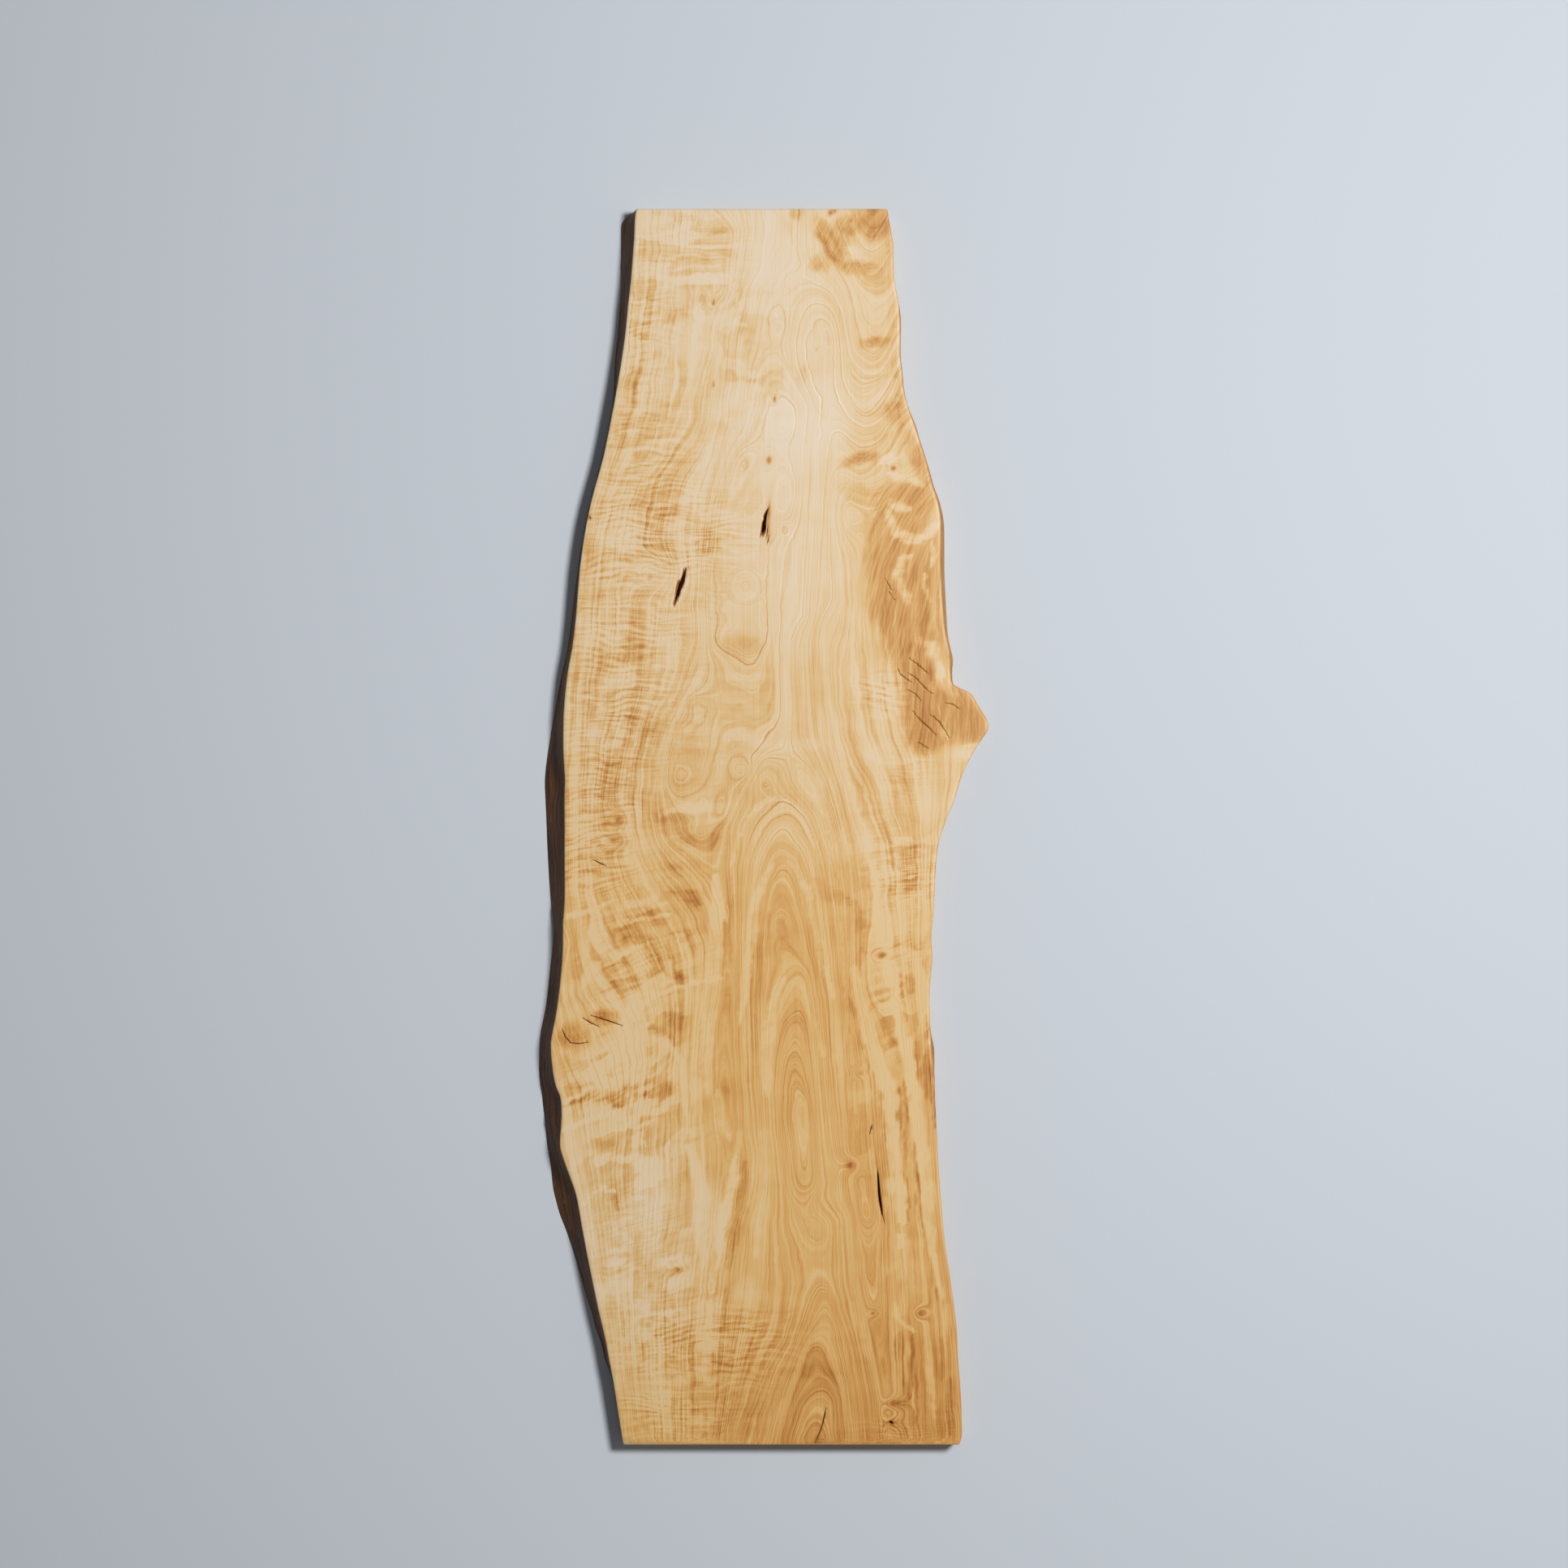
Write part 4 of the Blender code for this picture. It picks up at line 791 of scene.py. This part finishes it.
def brownness(spots):
    """The board's slow change from pale at the head to honey brown at the foot, in three strips."""
    rows = np.array(BROWNNESS)
    strips = [np.interp(spots[:, 1], rows[:, 0], rows[:, k]) for k in (1, 2, 3)]
    left, middle, right = LEFT_MIDDLE_RIGHT
    to_left = np.clip((middle - spots[:, 0]) / (middle - left), 0, 1)
    to_right = np.clip((spots[:, 0] - middle) / (right - middle), 0, 1)
    to_left = to_left**2 * (3 - 2 * to_left)
    to_right = to_right**2 * (3 - 2 * to_right)
    return strips[1] + to_left * (strips[0] - strips[1]) + to_right * (strips[2] - strips[1])


def add_attribute(mesh, name, values):
    layer = mesh.attributes.new(name, "FLOAT", "POINT")
    layer.data.foreach_set("value", np.asarray(values, np.float32))


def figure_board(mesh):
    """Puts the rings, knots, patches, curl and burl on the board as values at its vertices."""
    corners = corner_places(mesh)
    middle = FRAME_PIXELS / 2
    spots = np.column_stack([
        middle + (corners[:, 0] - FRAME_MIDDLE.x) / PIXEL,
        middle - (corners[:, 1] - FRAME_MIDDLE.y) / PIXEL,
    ])
    depth = (THICKNESS - corners[:, 2]) / PIXEL
    deep = spots + depth[:, None] * RING_DRIFT
    wander = np.column_stack([wandering(deep, WANDER_SIZE, seed) for seed in WANDER_SEEDS])
    jitter = np.column_stack([wandering(deep, JITTER_SIZE, seed) for seed in JITTER_SEEDS])
    rough = deep + WANDER * wander + JITTER * jitter
    lifts = []
    darks = []
    for across, down, half_width, half_length, lift, dark in KNOTS:
        lifts.append((across, down, half_width * KNOT_REACH, half_length * KNOT_REACH, 0, lift))
        darks.append((across, down, half_width, half_length, 0, dark))
    plate = bent_plate()
    steep = np.hypot(*np.gradient(plate, TRACE_GRID * PIXEL))
    rings = read_plate(plate, deep) + soft_sum(spots, lifts)
    climb = np.interp(spots[:, 1], *np.array(CURL_CLIMB).T)
    crest = (spots[:, 1] + climb * (spots[:, 0] - CURL_ORIGIN)) * PIXEL
    add_attribute(mesh, "ring", rings)
    add_attribute(mesh, "slope", read_plate(steep, deep))
    add_attribute(mesh, "crest", crest + depth * PIXEL * CREST_DRIFT)
    add_attribute(mesh, "brown", brownness(spots))
    patches = soft_sum(rough, PATCHES, PATCH_FIRMNESS) + stroke_sum(rough, STROKES)
    add_attribute(mesh, "patch", patches)
    add_attribute(mesh, "curl", soft_sum(deep + CURL_WANDER * wander, CURL_AREAS))
    add_attribute(mesh, "burl", np.clip(soft_sum(rough, BURL_AREAS, PATCH_FIRMNESS), 0, 1))
    lean = np.interp(spots[:, 1], *np.array(BURL_LEAN).T)
    add_attribute(mesh, "thread", (deep[:, 0] + lean) * PIXEL)
    add_attribute(mesh, "stripe", np.clip(soft_sum(rough, STRIPE_AREAS), 0, STRONGEST))
    lines = FAINT_LINES + soft_sum(spots, LINE_AREAS)
    add_attribute(mesh, "line", np.clip(lines, 0, STRONGEST))
    upper_half = corners[:, 2] > THICKNESS / 2
    add_attribute(mesh, "knot", np.where(upper_half, soft_sum(spots, darks), 0))


# Materials


class Value:
    """A node's output, which Python's arithmetic turns into Math nodes."""

    def __init__(self, finish, socket):
        self.finish = finish
        self.socket = socket

    def math(self, operation, *others):
        sockets = dict(enumerate((self, *others)))
        node = self.finish.node("Math", {"operation": operation}, sockets)
        return Value(self.finish, node.outputs[0])

    def __add__(self, other):
        return self.math("ADD", other)

    def __radd__(self, other):
        return self.math("ADD", other)

    def __sub__(self, other):
        return self.math("SUBTRACT", other)

    def __rsub__(self, other):
        return (self * -1) + other

    def __mul__(self, other):
        return self.math("MULTIPLY", other)

    def __rmul__(self, other):
        return self.math("MULTIPLY", other)

    def __truediv__(self, other):
        return self.math("DIVIDE", other)

    def size(self):
        return self.math("ABSOLUTE")

    def kept_between(self, low, high):
        return self.math("MINIMUM", high).math("MAXIMUM", low)

    def to_whole(self):
        """How far the value is from the nearest whole number."""
        return ((self + 0.5).math("FRACT") - 0.5).size()

    def between(self, low, high):
        """0 at low and under, 1 at high and over, and smooth between."""
        settings = {"interpolation_type": "SMOOTHSTEP"}
        sockets = {"Value": self, "From Min": low, "From Max": high}
        node = self.finish.node("MapRange", settings, sockets)
        return Value(self.finish, node.outputs["Result"])


def set_stops(elements, stops):
    """Gives a colour ramp its stops, as (place, colour), for the two that it comes with."""
    for place, colour in stops:
        elements.new(place).color = colour
    elements.remove(elements[0])
    elements.remove(elements[-1])


class Finish:
    """A material being put together, with its Principled shader."""

    def __init__(self, name):
        self.material = bpy.data.materials.new(name)
        self.material.use_nodes = True
        self.tree = self.material.node_tree
        self.shader = self.tree.nodes["Principled BSDF"]

    def node(self, kind, settings=None, sockets=None):
        """A new node, with its settings made first and then its sockets, by name or place."""
        node = self.tree.nodes.new("ShaderNode" + kind)
        for name, value in (settings or {}).items():
            if name == "stops":
                set_stops(node.color_ramp.elements, value)
            else:
                setattr(node, name, value)
        self.feed(node, sockets or {})
        return node

    def feed(self, node, sockets):
        for place, value in sockets.items():
            if isinstance(value, Value):
                value = value.socket
            if isinstance(value, bpy.types.NodeSocket):
                self.tree.links.new(value, node.inputs[place])
            else:
                node.inputs[place].default_value = value

    def shade(self, sockets):
        self.feed(self.shader, sockets)
        return self.material

    def attribute(self, name):
        return Value(self, self.node("Attribute", {"attribute_name": name}).outputs["Fac"])

    def noise(self, vector, scale=1.0, detail=2.0, rough=0.5):
        """Noise about 0, mostly within 0.15 of it."""
        sockets = {"Vector": vector, "Scale": scale, "Detail": detail, "Roughness": rough}
        return Value(self, self.node("TexNoise", sockets=sockets).outputs["Fac"]) - 0.5

    def mix(self, factor, first, second, blend="MIX"):
        settings = {"data_type": "RGBA", "blend_type": blend}
        return self.node("Mix", settings, {0: factor, 6: first, 7: second}).outputs[2]

    def bump(self, height, distance):
        return self.node("Bump", sockets={"Height": height, "Distance": distance}).outputs[0]


class Wood(Finish):
    """A finish of the board, which knows the place of each of its points."""

    def __init__(self, name):
        super().__init__(name)
        self.spot = self.node("TexCoord").outputs["Object"]
        parts = self.node("SeparateXYZ", sockets={"Vector": self.spot}).outputs
        self.x, self.y, self.z = (Value(self, part) for part in parts)

    def grain(self, across, along, deep, detail=2, rough=0.5):
        """Noise over three values, each of which says how fast the grain changes one way."""
        vector = self.node("CombineXYZ", sockets={"X": across, "Y": along, "Z": deep}).outputs[0]
        return self.noise(vector, 1.0, detail, rough)


def paint(red, green, blue):
    """A screen colour from 0 to 255, as the linear values that a shader takes."""
    linear = []
    for part in (red, green, blue):
        share = part / 255
        linear.append(share / 12.92 if share <= 0.04045 else ((share + 0.055) / 1.055) ** 2.4)
    return (*linear, 1.0)


# The wood's colours from palest to darkest, by how brown it is.
WOOD_TONES = (
    (-0.3, (241, 231, 216)), (0.0, (225, 206, 180)), (0.25, (222, 194, 151)), (0.5, (217, 179, 120)),
    (0.75, (207, 158, 93)), (1.0, (190, 134, 68)), (1.2, (173, 112, 48)), (1.6, (136, 80, 34)),
    (2.2, (84, 46, 24)),
)
PALEST, DARKEST = WOOD_TONES[0][0], WOOD_TONES[-1][0]
RAMP_MARGIN = 0.001
HONEY_TINT = (1.0, 0.925, 0.745, 1.0)
KNOT_COLOUR = paint(176, 92, 44)
# The natural edges' main colour, hollows and flecks, each on the right and on the left side; the left ones
# are much darker, painted shade for the left edge, which faces away from the lamp.
EDGE_COLOURS_LEFT_SHADED = (((208, 156, 86), (108, 68, 36)), ((168, 112, 54), (66, 40, 22)),
                ((112, 76, 46), (132, 96, 62)))
FIGURE_MARKS = (
    "ring", "slope", "crest", "brown", "patch", "curl", "burl", "thread", "stripe", "line", "knot",
)
LINE_CORE = 0.3 * MM


class OiledWood(Wood):
    """Planed and oiled horse chestnut, with its figure on one scale of how brown it is."""

    def __init__(self, name):
        super().__init__(name)
        for mark in FIGURE_MARKS:
            setattr(self, mark, self.attribute(mark))
        self.ring = self.ring + self.noise(self.spot, 22, 3) * 0.35
        self.calm = 1 - self.burl * 0.8
        self.streaks = self.grain(self.ring * 3.4, self.y * 2.5, self.z * 2.5, 3, 0.65)
        self.fine = self.grain(self.ring * 9, self.y * 6, self.z * 6)
        self.fibres = self.grain(self.x * 420, self.y * 7, self.z * 420)
        self.ripple = self.grain(self.crest * 95, self.x * 6, self.z * 20, 1.5)
        swirl = self.noise(self.spot, 16, 2)
        self.threads = self.grain(self.thread * 230 + swirl * 3, self.y * 12, self.z * 60, 2, 0.6)
        self.tangle = self.grain(self.thread * 70 + swirl * 2, self.y * 12, self.z * 20, 3, 0.6)
        self.ridges = self.grain(self.x * 6, self.y * 11, self.z * 230, 3, 0.6)
        self.flecks = self.grain(self.x * 60, self.y * 34, self.z * 90, 3, 0.6)

    def growth(self):
        """The wood's own brown, with the bands, streaks, fibres and pale hairs of its growth."""
        lively = (0.34 + self.brown.between(0.08, 0.42) * 0.66) * (1.1 - self.line * 0.4)
        bands = self.grain(self.ring * 0.9, self.y * 1.2, self.z * 1.2)
        hairs = self.grain(self.ring * 26, self.y * 5, self.z * 9, 1)
        grown = (bands * 0.9 + self.streaks * 1.2) * lively + self.fine * 0.9 * (lively * 0.7 + 0.3)
        return self.brown + grown * self.calm + self.fibres * 0.42 - hairs.between(0.08, 0.22) * 0.2

    def patches(self):
        """Brown and pale patches and stripes, broken up where they cross the fibres."""
        wide = self.grain(self.ring * 0.45, self.crest * 27, self.z * 10) + self.fine * 0.12
        wide = wide.between(-0.04, 0.05) - 0.5
        plaid = self.grain(self.ring * 1.6, self.crest * 62, self.z * 12) + self.fine * 0.18
        plaid = plaid.between(-0.08, 0.08) - 0.5
        shaped = self.patch.math("MAXIMUM", 0) * 0.66 + self.patch.math("MINIMUM", 0)
        shaped = shaped * (1 + plaid * 0.4 + self.streaks * 3 + wide * 0.5)
        stripes = wide * 0.58 * self.stripe + plaid * 0.17 * (self.curl + self.stripe)
        blotch = self.grain(self.x * 14, self.y * 30, self.z * 14, 3)
        return shaped.kept_between(-0.6, 0.5) + stripes + blotch * 0.6 * (self.curl + 0.4)

    def curls(self):
        """The ripple across the fibres: pale crests, brown troughs and a wave under both."""
        lit = 1 - self.ripple.size().between(0, 0.045)
        shaded = 1 - (self.ripple - 0.075).size().between(0, 0.05)
        bend = self.grain(self.x * 7, self.crest * 13, self.z * 9)
        wave = (self.crest * 88 + bend * 7 - 0.5).to_whole().between(0.12, 0.38) - 0.5
        fading = self.grain(self.x * 13, self.crest * 22, self.z * 9) * 2.2 + 0.5
        return ((shaded - lit) * 0.2 + wave * fading.math("MAXIMUM", 0.1) * 0.5) * self.curl

    def drawn_line(self, rings, width, per_ring=1):
        """A line of the given width wherever the rings pass a whole number."""
        return 1 - (rings.to_whole() / self.slope / per_ring).between(LINE_CORE, width)

    def ring_lines(self):
        """Pale and brown lines between the rings, and fine ones at each quarter of a ring."""
        patchy = self.grain(self.ring * 0.8, self.y * 9, self.z * 9, 1) * 2 + 0.85
        pale = self.drawn_line(self.ring, 1.6 * MM) * self.line
        brown = self.drawn_line(self.ring - 0.08, 1.5 * MM) * self.line
        figured = self.stripe + self.line * 0.2 + self.curl * 0.4
        fine = self.drawn_line(self.ring * 4, 1.4 * MM, 4) * figured
        return (brown * 0.34 - pale * 0.24 + fine * 0.34) * patchy * self.calm

    def how_brown(self):
        brown = self.growth() + self.patches() + self.curls()
        brown = brown + (0.5 + self.threads * 1.2 + self.tangle * 0.8) * self.burl
        brown = brown.math("SMOOTH_MAX", self.brown * 0.5 - 0.06, 0.2)
        return brown + self.ring_lines() + self.knot * 0.9

    def face_colour(self):
        """The colour of a planed or sawn face, honey-coloured towards the foot."""
        span = DARKEST - PALEST
        stops = [((tone - PALEST) / span, paint(*colour)) for tone, colour in WOOD_TONES]
        stops[0] = (RAMP_MARGIN, stops[0][1])
        stops[-1] = (1 - RAMP_MARGIN, stops[-1][1])
        share = (self.how_brown() - PALEST) / span
        colour = self.node("ValToRGB", {"stops": stops}, {0: share}).outputs[0]
        honey = self.y.between(0.2, -0.2) * self.brown.between(0.15, 0.5) + self.burl * 0.4
        colour = self.mix(honey, colour, HONEY_TINT, "MULTIPLY")
        return self.mix(0.5 * self.knot.between(0.2, 0.9), colour, KNOT_COLOUR)

    def edge_colour_and_left_shade(self):
        """The colour of a natural edge: golden on the right, and darker on the left side as painted shade.
        """
        # to_left brings in the darker left-hand colours: painted shade on the natural edge turned away from
        # the lamp.
        to_left = (self.x / MM).between(40, -40)
        main, hollows, flecks = (
            self.mix(to_left, paint(*right), paint(*left)) for right, left in EDGE_COLOURS_LEFT_SHADED
        )
        colour = self.mix(self.ridges.between(-0.12, 0.14), main, hollows)
        return self.mix(self.flecks.between(0.1, 0.2) * 0.6, colour, flecks)

    def at_edge(self):
        """1 on the natural edges, 0 on the two faces and the sawn ends."""
        height = self.z / THICKNESS
        between_faces = (1 - height.between(0.95, 0.992)) * height.between(0.004, 0.03)
        at_end = ((self.y.size() - HALF_LENGTH) / MM).between(-1.6, -0.6)
        return between_faces * (1 - at_end)

    def relief(self, edge):
        """Fibres and ripple that can just be felt on the face, and the rough natural edge."""
        face = self.fine * 0.25 + self.fibres * 0.3
        face = face + self.ripple * self.curl * 0.5 + self.threads * self.burl * 0.4
        creases = self.grain(self.x * 12, self.y * 150, self.z * 26)
        rough = (creases + self.ridges * 1.5 + self.flecks) * edge
        return self.bump(face * 0.12 + rough, 0.9 * MM)


def oiled_wood():
    """The board's faces, ends and natural edges."""
    wood = OiledWood("oiled_horse_chestnut")
    edge = wood.at_edge()
    return wood.shade({
        "Base Color": wood.mix(edge, wood.face_colour(), wood.edge_colour_and_left_shade()),
        "Roughness": 0.46 + wood.streaks * 0.12 + edge * 0.2,
        "Specular IOR Level": 0.3,
        "Normal": wood.relief(edge),
    })


def void_wood_with_painted_shade():
    """The brown, crumbly wood inside the voids, slits and cracks, darker with depth as painted shade, with a
    painted golden highlight at the rim.
    """
    wood = Wood("void_wood_painted_shade_and_rim_highlight")
    down = (THICKNESS - wood.z) / MM
    crumbs = wood.grain(wood.x * 300, wood.y * 90, wood.z * 160, 4, 0.65)
    rim = 1 - down.between(0.6, 3.2)
    # Painted shade: the walls' colour darkens from 1 mm to 14 mm below the top face.
    colour = wood.mix(down.between(1, 14), paint(168, 112, 56), paint(140, 92, 48))
    colour = wood.mix((crumbs + 0.5).between(0.45, 0.75), colour, paint(196, 142, 80))
    # Painted highlight: a golden band in the top few millimetres of each opening.
    colour = wood.mix(rim * 0.5, colour, paint(214, 158, 78))
    return wood.shade({"Base Color": colour, "Roughness": 0.85, "Normal": wood.bump(crumbs, 1.2 * MM)})


def pale_floor():
    floor = Finish("pale_floor")
    return floor.shade({"Base Color": paint(199, 205, 211), "Roughness": 0.9, "Specular IOR Level": 0.15})


# Studio

FLOOR_SIZE = 40
CAMERA_DISTANCE = 8.0
SENSOR_WIDTH = 36
LAMP_PLACE = Vector((2.6, 1.2, 6.0))
LAMP_SIZE = 1.3
LAMP_POWER = 404
SKY_COLOUR = (0.93, 0.96, 1.0, 1.0)
SKY_STRENGTH = 0.15


def add_floor():
    bpy.ops.object.select_all(action="DESELECT")
    bpy.ops.mesh.primitive_plane_add(size=FLOOR_SIZE, location=(0, 0, 0))
    floor = bpy.context.object
    floor.name = "floor"
    floor.data.materials.append(pale_floor())


def add_lamp():
    """One soft lamp, high on the burl's side, aimed at the middle of the board."""
    lamp = bpy.data.lights.new("key", "AREA")
    lamp.shape = "DISK"
    lamp.size = LAMP_SIZE
    lamp.energy = LAMP_POWER
    holder = bpy.data.objects.new("key", lamp)
    holder.location = LAMP_PLACE
    holder.rotation_euler = (-LAMP_PLACE).to_track_quat("-Z", "Y").to_euler()
    bpy.context.scene.collection.objects.link(holder)


def add_sky():
    world = bpy.data.worlds.new("studio")
    world.use_nodes = True
    sky = world.node_tree.nodes["Background"]
    sky.inputs["Color"].default_value = SKY_COLOUR
    sky.inputs["Strength"].default_value = SKY_STRENGTH
    bpy.context.scene.world = world


def add_camera():
    """Straight above the middle of the frame, which it fills with FRAME_PIXELS of the top face."""
    view = bpy.data.cameras.new("camera")
    view.sensor_width = SENSOR_WIDTH
    view.lens = SENSOR_WIDTH * CAMERA_DISTANCE / (FRAME_PIXELS * PIXEL)
    camera = bpy.data.objects.new("camera", view)
    camera.location = (FRAME_MIDDLE.x, FRAME_MIDDLE.y, THICKNESS + CAMERA_DISTANCE)
    bpy.context.scene.collection.objects.link(camera)
    bpy.context.scene.camera = camera


def add_board():
    copy = merged_copy(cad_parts["slab"])
    board = fine_board(copy)
    cutter = opening_cutter(copy)
    board.data.materials.append(oiled_wood())
    cutter.data.materials.append(void_wood_with_painted_shade())
    cut_openings(board, cutter)
    figure_board(board.data)
    board.data.shade_smooth()
    board.data.set_sharp_from_angle(angle=SHARP_ANGLE)
    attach(board, "root")
    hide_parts("slab")


add_floor()
add_sky()
add_lamp()
add_camera()
add_board()
bpy.context.scene.view_settings.view_transform = "Standard"
